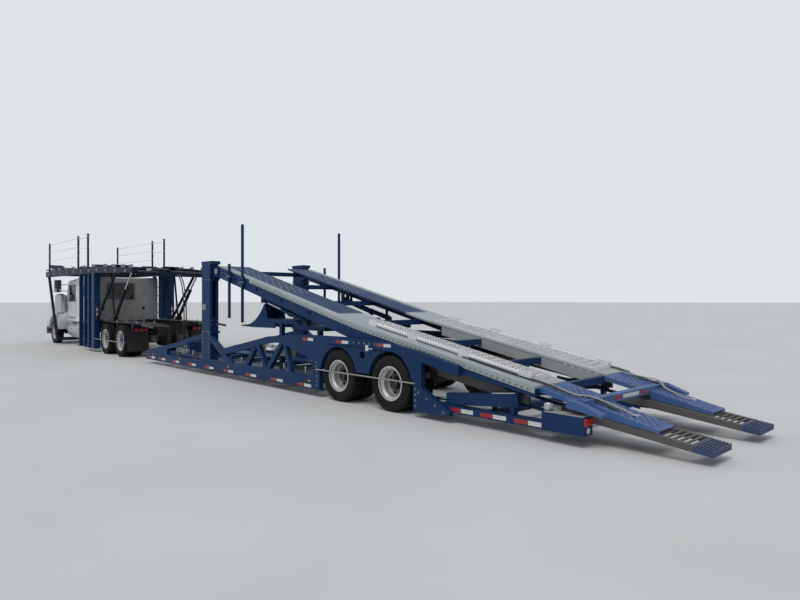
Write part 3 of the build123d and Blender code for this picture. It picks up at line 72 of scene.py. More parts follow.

# %% [markdown]
# ## Camera
# The camera comes first. It stands beside the trailer's rear at eye height and looks forward along
# the vehicle, level with the horizon. Its place could be tried by eye, but the vehicle's straight
# edges and known tyre sizes were enough to work it out.

# %% Camera
EYE = Vector((-14.751, 7.265, 1.659))
LOOK = Vector((0.7295, -0.6840, 0.0))
LENS, SENSOR = 27.03, 36.0
camera_data = bpy.data.cameras.new("camera")
camera_data.lens, camera_data.sensor_width = LENS, SENSOR
camera_data.clip_end = 500.0
camera = bpy.data.objects.new("camera", camera_data)
camera.location = EYE
camera.rotation_mode = "QUATERNION"
camera.rotation_quaternion = LOOK.to_track_quat("-Z", "Y")
bpy.context.collection.objects.link(camera)
scene = bpy.context.scene
scene.camera = camera
scene.view_settings.view_transform = "Standard"
print("camera:", LENS, "mm lens, eye at", round(EYE.z, 2), "m")


# %% [markdown]
# ## Shader maths
# A finish is a small tree of shader nodes. Written node by node it is hard to read, so a socket is
# wrapped in a class that knows the arithmetic operators: `1 - mask * 0.5` then adds its own Math
# nodes. Every other node comes from one method, which takes the node's type, its settings and the
# values or links of its sockets.

# %% A socket that does arithmetic
class Wire:
    """A shader socket that can be added, multiplied and compared in an expression."""

    def __init__(self, tree, socket):
        self.tree, self.socket = tree, socket

    def _maths(self, operation, first, second):
        node = self.tree.nodes.new("ShaderNodeMath")
        node.operation = operation
        for place, value in zip(node.inputs, (first, second)):
            if isinstance(value, Wire):
                self.tree.links.new(value.socket, place)
            else:
                place.default_value = value
        return Wire(self.tree, node.outputs[0])

    def __add__(self, other):
        return self._maths("ADD", self, other)

    def __sub__(self, other):
        return self._maths("SUBTRACT", self, other)

    def __rsub__(self, other):
        return self._maths("SUBTRACT", other, self)

    def __mul__(self, other):
        return self._maths("MULTIPLY", self, other)

    def __truediv__(self, other):
        return self._maths("DIVIDE", self, other)

    def __gt__(self, other):
        return self._maths("GREATER_THAN", self, other)

    def __lt__(self, other):
        return self._maths("LESS_THAN", self, other)

    def __mod__(self, other):
        return self._maths("FLOORED_MODULO", self, other)

    def top(self, other):
        return self._maths("MAXIMUM", self, other)

    def low(self, other):
        return self._maths("MINIMUM", self, other)

    def size(self):
        """The value without its sign."""
        return self.top(0 - self)

    __radd__, __rmul__ = __add__, __mul__


# %% One finish and its nodes
class Finish:
    """One material and the nodes that make it."""

    def __init__(self, name):
        self.material = bpy.data.materials.new(name)
        self.material.use_nodes = True
        self.tree = self.material.node_tree
        self.tree.nodes.clear()
        self.place = self.node("ShaderNodeTexCoord", out="Object")

    def node(self, kind, settings=None, inputs=None, out=0):
        node = self.tree.nodes.new(kind)
        for key, value in (settings or {}).items():
            setattr(node, key, value)
        for key, value in (inputs or {}).items():
            if isinstance(value, Wire):
                self.tree.links.new(value.socket, node.inputs[key])
            else:
                node.inputs[key].default_value = value
        return Wire(self.tree, node.outputs[out])

    def noise(self, scale, detail=3.0, rough=0.55, stretch=None):
        place = self.place
        if stretch:
            place = self.node("ShaderNodeMapping", {}, {"Vector": place, "Scale": stretch})
        return self.node("ShaderNodeTexNoise", {}, {"Vector": place, "Scale": scale,
                                                    "Detail": detail, "Roughness": rough})

    def step(self, value, low, high):
        """0 below low, 1 above high, and a smooth ramp between."""
        return self.node("ShaderNodeMapRange", {"interpolation_type": "SMOOTHSTEP"},
                         {"Value": value, "From Min": low, "From Max": high})

    def mix(self, factor, first, second):
        return self.node("ShaderNodeMix", {"data_type": "RGBA"}, {0: factor, 6: first, 7: second},
                         out=2)

    def axis(self, name, vector=None):
        """X, Y or Z of a vector, or else of the place in the piece."""
        vector = self.place if vector is None else vector
        return self.node("ShaderNodeSeparateXYZ", {}, {0: vector}, out=name)

    def normal(self):
        return self.node("ShaderNodeNewGeometry", out="Normal")

    def bump(self, height, strength, distance=0.002):
        return self.node("ShaderNodeBump", {}, {"Strength": strength, "Distance": distance,
                                                "Height": height})

    def surface(self, **sockets):
        names = {key.replace("_", " "): value for key, value in sockets.items()}
        shader = self.node("ShaderNodeBsdfPrincipled", {}, names)
        output = self.tree.nodes.new("ShaderNodeOutputMaterial")
        self.tree.links.new(shader.socket, output.inputs["Surface"])
        return self.material


def rgb(red, green, blue):
    return (red, green, blue, 1.0)


# %% [markdown]
# ## Paint that has worked outdoors
# The steelwork is sprayed enamel that has faded, chipped and gathered desert dust. The recipe takes
# the fresh colour and three amounts: fading is a broad noise towards a chalky tone, chips are small
# spots where bare steel or rust shows, thickest at the edges, and dust settles low down.

# %% Enamel
DUST = rgb(0.36, 0.30, 0.25)
RUST = rgb(0.16, 0.065, 0.03)
BARE = rgb(0.30, 0.29, 0.28)
# Painted shade seen through punched grip openings
HOLE_SHADE = rgb(0.035, 0.036, 0.038)
EDGE_SIZE = 0.012


def enamel(name, fresh, faded, wear=0.5, dust=0.4, gloss=0.42, shine=0.3, tip=None, nose=None,
           waffle=None):
    """`tip` is (x, colour): behind that station the piece was dipped in another paint.
    `nose` is (x, y, colour): ahead of x, and nearer than y to the middle, it is sprayed over.
    `waffle` is the pitch of a punched grip pattern on the faces that look up; its punched openings
    are painted dark, as painted shade seen through them."""
    f = Finish(name)
    flat = f.normal()
    patches = f.step(f.noise(0.9, 4.0), 0.35, 0.7)
    streaks = f.step(f.noise(6.0, 4.0, 0.6, (1.0, 1.0, 0.12)), 0.45, 0.8)
    colour = f.mix(patches * 0.55 + streaks * 0.25, rgb(*fresh), rgb(*faded))
    if tip:
        x, dipped = tip
        colour = f.mix(f.step(x - f.axis("X"), 0.0, 0.02), colour, rgb(*dipped))
    if nose:
        x, y, sprayed = nose
        ahead = f.step(f.axis("X") - x, 0.0, 0.15) * (f.axis("Y").size() < y)
        colour = f.mix(ahead, colour, rgb(*sprayed))
    if waffle:
        # Punched grip pattern on faces that look up: dark squares of painted shade seen through the
        # openings
        east, north = ((f.axis("X") + f.axis("Y") * sign) / waffle % 1.0 - 0.5 for sign in (1, -1))
        hole_shade = 1 - f.step(east.size().top(north.size()), 0.27, 0.33)
        colour = f.mix(hole_shade * (f.axis("Z", flat) > 0.8) * 0.9, colour, HOLE_SHADE)
    rounded = f.node("ShaderNodeBevel", {"samples": 4}, {"Radius": EDGE_SIZE})
    agree = f.node("ShaderNodeVectorMath", {"operation": "DOT_PRODUCT"}, {0: rounded, 1: flat},
                   out="Value")
    edge = f.step(1 - agree, 0.02, 0.20)
    grit = f.noise(38.0, 5.0, 0.7)
    chips = f.step(edge * 0.34 * wear + grit, 0.70, 0.76).low(1.0)
    rusty = f.step(f.noise(11.0, 3.0), 0.42, 0.62)
    colour = f.mix(chips * wear, colour, f.mix(rusty, BARE, RUST))
    low_down = 1 - f.step(f.axis("Z"), 0.0, 1.5)
    dirt = f.step(f.noise(2.3, 5.0, 0.65) + low_down * 0.35, 0.45, 0.85) * dust
    colour = f.mix(dirt, colour, DUST)
    roughness = gloss + dirt * 0.35 + chips * 0.2 + patches * 0.08
    relief = f.noise(24.0, 2.0) * 0.6 - chips * wear
    return f.surface(Base_Color=colour, Roughness=roughness, Metallic=chips * 0.25,
                     Specular_IOR_Level=shine, Normal=f.bump(relief, 0.25, 0.0015))


def road_dirt_and_shade(name, fresh, film_and_shade):
    """Clean enamel with painted shade on the walls that face backwards, under the rack, and grey
    road dirt there and on the lower edges.
    """
    f = Finish(name)
    # Walls that face backwards: painted shade of the rack above, mixed with some road dirt
    backward = f.step(0 - f.axis("X", f.normal()), 0.3, 0.9)
    # Lower edges: road dirt
    low_down = 1 - f.step(f.axis("Z"), 0.9, 2.0)
    unevenness = f.step(f.noise(2.2, 5.0, 0.65, (1.0, 1.0, 0.45)), 0.25, 0.85)
    shade_and_road_dirt = (backward * (0.62 + unevenness * 0.25) + low_down * unevenness * 0.25).low(0.95)
    return f.surface(Base_Color=f.mix(shade_and_road_dirt, rgb(*fresh), rgb(*film_and_shade)),
                     Roughness=0.24 + shade_and_road_dirt * 0.4,
                     Normal=f.bump(f.noise(24.0, 2.0), 0.1, 0.001))


# %% Painted finishes
COATING = (0.30, 0.345, 0.36), (0.44, 0.46, 0.46)
FINISHES = {
    "blue_paint": enamel("frame_blue", (0.003, 0.026, 0.088), (0.006, 0.040, 0.118), wear=0.35,
                         dust=0.015, shine=0.16),
    "light_blue_paint": enamel("flipper_blue", (0.012, 0.074, 0.27), (0.055, 0.140, 0.34), wear=0.9,
                               dust=0.12),
    "navy_paint": enamel("rack_navy", (0.004, 0.012, 0.030), (0.008, 0.020, 0.046), wear=0.5,
                         dust=0.03, shine=0.16),
    "rack_runway": enamel("rack_runway", (0.018, 0.026, 0.040), (0.060, 0.066, 0.074), wear=0.9,
                          dust=0.12, shine=0.2),
    "white_paint": enamel("cab_white", (0.67, 0.67, 0.66), (0.57, 0.57, 0.56), wear=0.15, dust=0.18,
                          gloss=0.22, shine=0.5),
    # Sleeper white with painted shade on its back under the rack, and some road dirt
    "sleeper_paint": road_dirt_and_shade("sleeper_white", (0.76, 0.76, 0.74), (0.20, 0.205, 0.21)),
    "deck_grey": enamel("deck_coating", *COATING, wear=0.7, dust=0.45, gloss=0.5),
    "deck_runway": enamel("deck_runway", *COATING, wear=0.7, dust=0.10, gloss=0.5,
                          nose=(-6.70, 1.06, (0.004, 0.030, 0.098))),
    # The skid plates' punched openings carry painted shade
    "skid_white": enamel("skid_white", (0.76, 0.77, 0.78), (0.62, 0.62, 0.61), wear=0.8, dust=0.25,
                         gloss=0.5, waffle=0.055),
    "black_steel": enamel("chassis_black", (0.009, 0.010, 0.013), (0.020, 0.022, 0.027), wear=0.35,
                          dust=0.05, shine=0.2),
    "cast_metal": enamel("engine_casting", (0.16, 0.16, 0.16), (0.22, 0.22, 0.21), wear=0.3,
                         dust=0.3),
    "ramp_steel": enamel("ramp_channel", (0.052, 0.055, 0.058), (0.092, 0.094, 0.095), wear=0.7,
                         dust=0.10, gloss=0.55, tip=(-12.345, (0.008, 0.036, 0.12))),
}
print("painted finishes:", len(FINISHES))

# %% [markdown]
# ## Rubber, glass, chrome and polished metal
# Tyre rubber is nearly black, greyer where dust clings. Glass is a dark tinted sheet. Chrome and
# polished aluminium are pure metals whose roughness varies with smears. A wheel is bright at its
# rim and dark near the hub, so its finish asks how far it is from the nearest axle.

# %% Rubber, polish and glass
def tyre_rubber():
    f = Finish("tyre_rubber")
    dust = f.step(f.noise(5.0, 5.0, 0.7), 0.4, 0.75)
    colour = f.mix(dust * 0.35, rgb(0.008, 0.008, 0.009), rgb(0.040, 0.037, 0.034))
    grain = f.noise(240.0, 2.0)
    return f.surface(Base_Color=colour, Roughness=0.72 + dust * 0.18, Specular_IOR_Level=0.2,
                     Normal=f.bump(grain, 0.2, 0.0006))


def soft_rubber(name, colour, roughness):
    f = Finish(name)
    dust = f.step(f.noise(9.0, 4.0), 0.45, 0.8)
    shade = f.mix(dust * 0.4, rgb(*colour), rgb(0.12, 0.11, 0.10))
    return f.surface(Base_Color=shade, Roughness=roughness + dust * 0.15,
                     Normal=f.bump(f.noise(180.0), 0.15, 0.0005))


def polished(name, colour, roughness):
    f = Finish(name)
    smear = f.step(f.noise(7.0, 5.0, 0.65), 0.35, 0.75)
    speck = f.step(f.noise(70.0, 3.0), 0.62, 0.72)
    shade = f.mix(speck * 0.5 + smear * 0.2, rgb(*colour), rgb(0.30, 0.27, 0.24))
    return f.surface(Base_Color=shade, Metallic=1 - speck * 0.4,
                     Roughness=roughness + smear * 0.18 + speck * 0.3)


def tinted_glass(name, colour, alpha, roughness=0.05):
    f = Finish(name)
    film_and_shade = f.step(f.noise(4.0, 4.0), 0.4, 0.8)
    shade = f.mix(film_and_shade * 0.3, rgb(*colour), rgb(0.22, 0.20, 0.18))
    return f.surface(Base_Color=shade, Roughness=roughness + film_and_shade * 0.2, Alpha=alpha + film_and_shade * 0.08)


# %% Cloth, plastic and wheel steel
def woven(name, colour):
    f = Finish(name)
    across = f.node("ShaderNodeTexWave", {"bands_direction": "Y"},
                    {"Vector": f.place, "Scale": 160.0})
    along = f.node("ShaderNodeTexWave", {"bands_direction": "X"},
                   {"Vector": f.place, "Scale": 160.0})
    weave = across * along
    shade = f.mix(weave * 0.5, rgb(*colour), rgb(*[c * 0.55 for c in colour]))
    return f.surface(Base_Color=shade, Roughness=0.9, Normal=f.bump(weave, 0.4, 0.001))


def moulded(name, colour):
    f = Finish(name)
    grain = f.noise(320.0, 3.0)
    worn = f.step(f.noise(6.0, 3.0), 0.45, 0.75)
    shade = f.mix(worn * 0.35, rgb(*colour), rgb(0.16, 0.15, 0.14))
    return f.surface(Base_Color=shade, Roughness=0.55 + worn * 0.2,
                     Normal=f.bump(grain, 0.25, 0.0006))


def wheel_steel(axles):
    """Silver paint that turns dark near each axle."""
    f = Finish("wheel_steel")
    x, z = f.axis("X"), f.axis("Z")
    squares = []
    for axle_x, _, axle_z in axles:
        dx, dz = x - axle_x, z - axle_z
        squares.append(dx * dx + dz * dz)
    nearest = reduce(Wire.low, squares)
    darker_near_axle = 1 - f.step(nearest, 0.018, 0.046)
    blotch = f.step(f.noise(9.0, 5.0, 0.65), 0.35, 0.75)
    dark = (darker_near_axle * 0.85 + blotch * 0.25).low(0.92)
    shade = f.mix(dark, rgb(0.58, 0.58, 0.57), rgb(0.050, 0.043, 0.038))
    return f.surface(Base_Color=shade, Metallic=0.55 - dark * 0.45, Roughness=0.36 + dark * 0.35,
                     Normal=f.bump(f.noise(60.0), 0.12, 0.0008))


# %% Tape and lamp plastic
def reflective(name, colour):
    """Retroreflective tape: a fine diamond grid under a clear skin, scuffed in places."""
    f = Finish(name)
    cells = f.node("ShaderNodeTexVoronoi", {"feature": "DISTANCE_TO_EDGE"},
                   {"Vector": f.place, "Scale": 260.0})
    scuff = f.step(f.noise(14.0, 5.0, 0.7), 0.52, 0.70)
    shade = f.mix(scuff * 0.6, rgb(*colour), rgb(0.22, 0.20, 0.18))
    return f.surface(Base_Color=shade, Roughness=0.30 + scuff * 0.4,
                     Normal=f.bump(cells, 0.3, 0.0005))


def lamp_plastic(name, colour):
    """Coloured lens: moulded ribs inside clear plastic, dusty outside."""
    f = Finish(name)
    ribs = f.node("ShaderNodeTexWave", {"bands_direction": "Z"}, {"Vector": f.place, "Scale": 60.0})
    dust = f.step(f.noise(18.0, 4.0), 0.5, 0.8)
    shade = f.mix(ribs * 0.35, rgb(*colour), rgb(*[c * 0.45 for c in colour]))
    shade = f.mix(dust * 0.3, shade, DUST)
    return f.surface(Base_Color=shade, Roughness=0.15 + dust * 0.4, Normal=f.bump(ribs, 0.2, 0.001))


# %% All finishes on their parts
def wheel_at(name):
    """Centre and radius of a tyre, measured on the frame's own solid."""
    low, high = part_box(name)
    return [(a + b) / 2 for a, b in zip(low, high)], (high[2] - low[2]) / 2


AXLES = [wheel_at(f"tyres_{axle}_left")[0] for axle in ("trailer_rear", "trailer_front",
                                                        "drive_rear", "drive_front")]
AXLES.append(wheel_at("tyre_steer_left")[0])
FINISHES.update({
    "tyre_rubber": tyre_rubber(),
    "hose_rubber": soft_rubber("hose_rubber", (0.02, 0.02, 0.021), 0.5),
    "wheel_steel": wheel_steel(AXLES),
    "wheel_steel_plain": polished("zinc_plate", (0.42, 0.42, 0.42), 0.40),
    "wheel_nuts": polished("zinc_nuts", (0.34, 0.33, 0.31), 0.42),
    "mirror_glass": polished("mirror_glass", (0.10, 0.11, 0.12), 0.04),
    "tape_white": reflective("tape_white", (0.60, 0.61, 0.60)),
    "tape_red": reflective("tape_red", (0.30, 0.016, 0.020)),
    "lamp_red": lamp_plastic("lamp_red", (0.45, 0.012, 0.012)),
    "lamp_amber": lamp_plastic("lamp_amber", (0.62, 0.20, 0.015)),
    "box_tan": enamel("tool_box_tan", (0.42, 0.33, 0.22), (0.50, 0.43, 0.32), wear=0.6, dust=0.4),
    "chrome_parts": polished("chrome", (0.70, 0.70, 0.72), 0.10),
    "aluminium_parts": polished("aluminium", (0.62, 0.63, 0.64), 0.28),
    "window_glass": tinted_glass("window_glass", (0.008, 0.010, 0.013), 0.91),
    "lamp_glass": tinted_glass("lamp_glass", (0.60, 0.62, 0.64), 0.75, 0.08),
    "seat_fabric": woven("seat_cloth", (0.10, 0.10, 0.12)),
    "dark_plastic": moulded("dash_plastic", (0.045, 0.045, 0.048)),
})
slots = {entry["node"]: entry["material_slot"] for entry in frame["record"]["subparts"]}
# Parts that were sprayed otherwise than the rest of their slot, and the sleeper's shell, whose
# back carries painted shade from the rack above besides some road dirt
REPAINTED = {"deck_runways": "deck_runway", "rack_frame": "navy_paint",
             "rack_runways": "rack_runway", "tractor_lower_deck": "black_steel",
             "sleeper_shell": "sleeper_paint"}
for name, part in nodes.items():
    for place in part.material_slots:
        place.material = FINISHES[REPAINTED.get(name, slots[name])]
print("finishes:", len(FINISHES), "on", len(nodes), "parts")

# %% [markdown]
# ## Hydraulic hoses
# Two hoses carry oil from the rack's rear cross tube down to the fittings over the ball. Each hangs
# in one long slack bow, so that the trailer can turn under it. A hose could be a mesh tube, but a
# curve needs only the points of its route, which pull its line smooth, and a round bevel.

# %% Hoses
REAR_AXLE = AXLES[0][0]
HOSE_ROUTE = [(10.72, 2.39), (10.61, 2.39), (10.46, 2.33), (10.33, 2.19), (10.24, 1.99),
              (10.18, 1.76), (10.145, 1.51), (10.128, 1.26), (10.124, 1.02), (10.15, 0.84),
              (10.18, 0.70), (10.18, 0.60)]
HOSE_LENGTH, HOSE_DIAMETER = 2.08, 0.032
for side, y in (("left", 0.032), ("right", -0.032)):
    line = bpy.data.curves.new(f"hydraulic_hose_{side}", "CURVE")
    line.dimensions = "3D"
    line.bevel_depth, line.bevel_resolution, line.resolution_u = HOSE_DIAMETER / 2, 6, 12
    line.use_fill_caps = True
    spline = line.splines.new("NURBS")
    spline.points.add(len(HOSE_ROUTE) - 1)
    for point, (x, z) in zip(spline.points, HOSE_ROUTE):
        point.co = (REAR_AXLE + x, y, z, 1.0)
    spline.order_u = 3
    spline.use_endpoint_u = True
    line.materials.append(FINISHES["hose_rubber"])
    hose = bpy.data.objects.new(f"hydraulic_hose_{side}", line)
    bpy.context.collection.objects.link(hose)
    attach(hose, "tractor")
    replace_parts(hose, f"hose_{side}")
    REAR_AXLE + HOSE_ROUTE[0][0]
print("hoses:", HOSE_LENGTH, "m each")


# %% [markdown]
# ## A mesh bench
# Most fittings are plates, bars, round bars and turned rings. The bench collects such forms in one
# mesh, so that a whole family of fittings becomes a single piece that rides on one body.

# %% Circles and directions
def circle(count, radius=1.0, shift=0.0):
    """Points round a circle; a shift of 0.5 turns it by half a step."""
    angles = (2 * pi * (i + shift) / count for i in range(count))
    return [(radius * cos(a), radius * sin(a)) for a in angles]


def facing(place, normal):
    """Local Z turned to leave the place along the normal."""
    return Matrix.Translation(place) @ Vector(normal).to_track_quat("Z", "Y").to_matrix().to_4x4()


def lying(place, axis="Y"):
    """Local Z laid level: lengthwise when turned about Y, across when turned about X."""
    return Matrix.Translation(place) @ Matrix.Rotation(pi / 2, 4, axis)


def leaning(place, angle):
    """Tipped about Y at a place."""
    return Matrix.Translation(place) @ Matrix.Rotation(angle, 4, "Y")


# %% The bench
SOFT_ANGLE = 40


class Bench:
    """Collects plates, round bars and turned rings in one mesh."""

    def __init__(self):
        self.verts, self.faces = [], []

    def add(self, verts, faces, matrix=None):
        start = len(self.verts)
        self.verts += [tuple(matrix @ Vector(v)) if matrix else tuple(v) for v in verts]
        self.faces += [tuple(start + i for i in face) for face in faces]

    def block(self, low, high, matrix=None, chamfer=0.0):
        """A box between two corners, with its edges cut off where a chamfer is given."""
        c = min(chamfer, *[0.45 * (b - a) for a, b in zip(low, high)])
        (x0, y0, z0), (x1, y1, z1) = low, high
        if c <= 0:
            verts = [(x, y, z) for z in (z0, z1) for x, y in ((x0, y0), (x1, y0), (x1, y1),
                                                              (x0, y1))]
            sides = [(i, (i + 1) % 4, 4 + (i + 1) % 4, 4 + i) for i in range(4)]
            self.add(verts, [(3, 2, 1, 0), (4, 5, 6, 7)] + sides, matrix)
            return
        outer = [(x0 + c, y0), (x1 - c, y0), (x1, y0 + c), (x1, y1 - c),
                 (x1 - c, y1), (x0 + c, y1), (x0, y1 - c), (x0, y0 + c)]
        inner = [(x0 + c, y0 + c), (x1 - c, y0 + c), (x1 - c, y0 + c), (x1 - c, y1 - c),
                 (x1 - c, y1 - c), (x0 + c, y1 - c), (x0 + c, y1 - c), (x0 + c, y0 + c)]
        self.loft([[(x, y, z0) for x, y in inner], [(x, y, z0 + c) for x, y in outer],
                   [(x, y, z1 - c) for x, y in outer], [(x, y, z1) for x, y in inner]], matrix)

    def loft(self, rings, matrix=None, capped=True):
        """A skin over rings that all have the same number of points."""
        count = len(rings[0])
        verts = [v for ring in rings for v in ring]
        faces = [(r * count + i, r * count + (i + 1) % count, (r + 1) * count + (i + 1) % count,
                  (r + 1) * count + i)
                 for r in range(len(rings) - 1) for i in range(count)]
        if capped:
            last = (len(rings) - 1) * count
            faces += [tuple(range(count - 1, -1, -1)), tuple(last + i for i in range(count))]
        self.add(verts, faces, matrix)

    def turned(self, profile, sides=24, matrix=None):
        """Turns (radius, height) points about local Z."""
        self.loft([[(x, y, height) for x, y in circle(sides, radius)]
                   for radius, height in profile], matrix)

    def bar(self, start, end, radius, sides=12):
        """A round bar with broken edges."""
        start, end = Vector(start), Vector(end)
        run = (end - start).length
        c = min(radius * 0.25, run * 0.2)
        self.turned([(radius - c, 0), (radius, c), (radius, run - c), (radius - c, run)], sides,
                    facing(start, end - start))

    def bolt(self, place, normal, radius=0.012, height=0.009):
        """A hexagon head on its washer."""
        matrix = facing(place, normal)
        self.turned([(radius * 1.5, -0.001), (radius * 1.5, height * 0.25)], 12, matrix)
        self.turned([(radius, 0), (radius, height * 0.85), (radius * 0.85, height)], 6, matrix)

    def make(self, name, body, finish, smooth=SOFT_ANGLE):
        """One piece on one body. Edges sharper than `smooth` degrees stay sharp."""
        mesh = bpy.data.meshes.new(name)
        mesh.from_pydata(self.verts, [], self.faces)
        work = bmesh.new()
        work.from_mesh(mesh)
        bmesh.ops.remove_doubles(work, verts=work.verts, dist=1e-6)
        bmesh.ops.dissolve_degenerate(work, edges=work.edges, dist=1e-6)
        bmesh.ops.recalc_face_normals(work, faces=work.faces)
        work.to_mesh(mesh)
        work.free()
        piece = bpy.data.objects.new(name, mesh)
        bpy.context.collection.objects.link(piece)
        mesh.materials.append(FINISHES[finish])
        if smooth:
            mesh.shade_smooth()
            mesh.set_sharp_from_angle(angle=radians(smooth))
        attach(piece, body)
        print(f"{name} on {body}: {len(mesh.polygons)} faces")
        return piece


def benches(count):
    return [Bench() for _ in range(count)]


# %% [markdown]
# ## Tyres
# A road tyre is a turned form with a patterned tread. The sidewall bulges and carries a few raised
# rings, the tread has four long grooves, and notches across the shoulders make the lugs. All of it
# is one profile turned in many steps, with the notched steps drawn in.

# %% Tyre form
TREAD_STEPS = 132
NOTCH_EVERY = 3


def tyre_profile(radius, width, bead):
    """Points (radius, offset from the middle) from one bead to the other."""
    half = [(bead, 0.36), (bead + 0.010, 0.40), (bead + 0.022, 0.405), (bead + 0.030, 0.43),
            (bead + 0.036, 0.43), (bead + 0.060, 0.478), (radius - (radius - bead) * 0.50, 0.50),
            (radius - 0.070, 0.492), (radius - 0.064, 0.500), (radius - 0.052, 0.494),
            (radius - 0.046, 0.484), (radius - 0.020, 0.462), (radius - 0.006, 0.44),
            (radius - 0.001, 0.42)]
    grooves = []
    for middle in (0.27, 0.10):
        grooves += [(radius, middle + 0.028), (radius - 0.013, middle + 0.020),
                    (radius - 0.013, middle - 0.020), (radius, middle - 0.028)]
    half = [(r, s * width) for r, s in half + grooves]
    return half + [(r, -s) for r, s in half[::-1]]


def add_tyre(bench, x, y, z, radius, width, bead):
    profile = tyre_profile(radius, width, bead)
    shoulder = (0.40 * width, 0.47 * width)
    rings = []
    for r, offset in profile:
        ring = []
        for i, (east, up) in enumerate(circle(TREAD_STEPS)):
            lug = r > radius - 0.045 and shoulder[0] < abs(offset) < shoulder[1]
            sipe = abs(offset) < 0.30 * width and r > radius - 0.002 and i % (2 * NOTCH_EVERY) == 0
            drop = 0.011 if lug and i % NOTCH_EVERY == 0 else 0.004 if sipe else 0.0
            ring.append((x + (r - drop) * east, y + offset, z + (r - drop) * up))
        rings.append(ring)
    bench.loft(rings, capped=False)


# %% Tyres on their wheels
TRAILER_BEAD, TRACTOR_BEAD = 0.248, 0.286
TRAILER_TYRE, TRACTOR_TYRE = 0.245, 0.255
TWIN_PITCH = 0.300
TWINS = [("trailer_rear", TRAILER_TYRE, TRAILER_BEAD),
         ("trailer_front", TRAILER_TYRE, TRAILER_BEAD), ("drive_rear", TRACTOR_TYRE, TRACTOR_BEAD),
         ("drive_front", TRACTOR_TYRE, TRACTOR_BEAD)]
SIDES = (("left", 1), ("right", -1))
wheel_places = []
for axle, width, bead in TWINS:
    for side, sign in SIDES:
        name, body = f"tyres_{axle}_{side}", f"wheels_{axle}_{side}"
        (x, _, z), radius = wheel_at(name)
        outer = max(abs(corner[1]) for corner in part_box(name)) - width / 2
        tyres = Bench()
        for distance in (outer, outer - TWIN_PITCH):
            add_tyre(tyres, x, sign * distance, z, radius, width, bead)
            wheel_places.append((body, (x, sign * distance, z), bead, distance == outer))
        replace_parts(tyres.make(f"tread_{axle}_{side}", body, "tyre_rubber"), name)
for side, _ in SIDES:
    centre, radius = wheel_at(f"tyre_steer_{side}")
    tyre = Bench()
    add_tyre(tyre, *centre, radius, TRACTOR_TYRE, TRACTOR_BEAD)
    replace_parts(tyre.make(f"tread_steer_{side}", f"wheel_steer_{side}", "tyre_rubber"),
                f"tyre_steer_{side}")
print("tyres:", 2 * len(TWINS) + 2, "pieces")


# %% [markdown]
# ## Stations
# The vehicle is measured from the trailer's rear axle, as its builders do. `along` turns such a
# distance into the frame's X, so the tables below can be read like a drawing. The upper deck has a
# knee: a steep front run and a flatter rear run, and everything that lies on it asks for its
# height.

# %% Stations
HALF = 1.30
DECK_LINE = [(5.7, 2.40), (1.0, 1.27), (-2.48, 0.60)]


def along(metres):
    return REAR_AXLE + metres


def at(x, y, z):
    """A place whose x is counted from the trailer's rear axle."""
    return along(x), y, z


def on_line(line, x):
    for (x0, z0), (x1, z1) in zip(line, line[1:]):
        if x >= x1 or (x1, z1) == line[-1]:
            return z0 + (z1 - z0) * (x - x0) / (x1 - x0)


def deck_z(x):
    return on_line(DECK_LINE, x)


print("deck height over the rear axle:", round(deck_z(0.0), 3))


# %% [markdown]
# ## Tubes along a line
# Pipes, hoses in clips, handles and cables are a round section carried along a few points. The
# corners are rounded by cutting each one back, and a small frame is carried along the line so that
# the tube doesn't twist.

# %% Tubes
def rounded(points, bend):
    """The same line with every inner corner replaced by a short three-point bend."""
    points = [Vector(p) for p in points]
    line = [points[0]]
    for before, corner, after in zip(points, points[1:], points[2:]):
        cut = min(bend, (before - corner).length * 0.45, (after - corner).length * 0.45)
        enter = corner + (before - corner).normalized() * cut
        leave = corner + (after - corner).normalized() * cut
        line += [enter, (enter + leave) * 0.21 + corner * 0.58, leave]
    return line + [points[-1]]


def tube(bench, points, radius, bend=0.05, sides=8):
    line = rounded(points, bend)
    rings = []
    side = (line[1] - line[0]).orthogonal().normalized()
    for i, point in enumerate(line):
        run = (line[min(i + 1, len(line) - 1)] - line[max(i - 1, 0)]).normalized()
        side = (side - run * side.dot(run)).normalized()
        up = run.cross(side)
        rings.append([point + (side * c + up * s) * radius for c, s in circle(sides)])
    bench.loft(rings)


# %% Rows of plates and bolts
def blocks(bench, table, chamfer=0.002):
    """Plates from a table: x, x, y, y, z, z with x counted from the trailer's rear axle."""
    for x0, x1, y0, y1, z0, z1 in table:
        bench.block(at(min(x0, x1), min(y0, y1), z0), at(max(x0, x1), max(y0, y1), z1),
                    chamfer=chamfer)


def two_sided(table):
    """The same table with each entry also on the other side."""
    return [row for x0, x1, y0, y1, z0, z1 in table
            for row in ((x0, x1, y0, y1, z0, z1), (x0, x1, -y1, -y0, z0, z1))]


def bolt_rows(bench, rows, radius=0.011, height=0.009):
    """Rows of hexagon bolts: start, end, count, normal."""
    for start, end, count, normal in rows:
        start, end = Vector(start), Vector(end)
        for i in range(count):
            place = start.lerp(end, i / max(count - 1, 1))
            bench.bolt(at(*place), normal, radius, height)


def face_bolts(bench, y, rows, radius=0.011, height=0.009):
    """Rows of bolts on a side face at y: x, z, x, z, count."""
    bolt_rows(bench, [((x0, y, z0), (x1, y, z1), count, (0, 1 if y > 0 else -1, 0))
                      for x0, z0, x1, z1, count in rows], radius, height)


# %% [markdown]
# ## Hubs, nuts and brakes
# A steel wheel is held by ten nuts on a circle, round a hub whose cap closes the axle's end. On a
# pair of twin wheels the outer disc lies deep inside its barrel, so the hub stands in a bowl. The
# brake drum fills the inner wheel from behind. All of these turn with the wheel.

# %% Wheel fittings
NUTS = 10
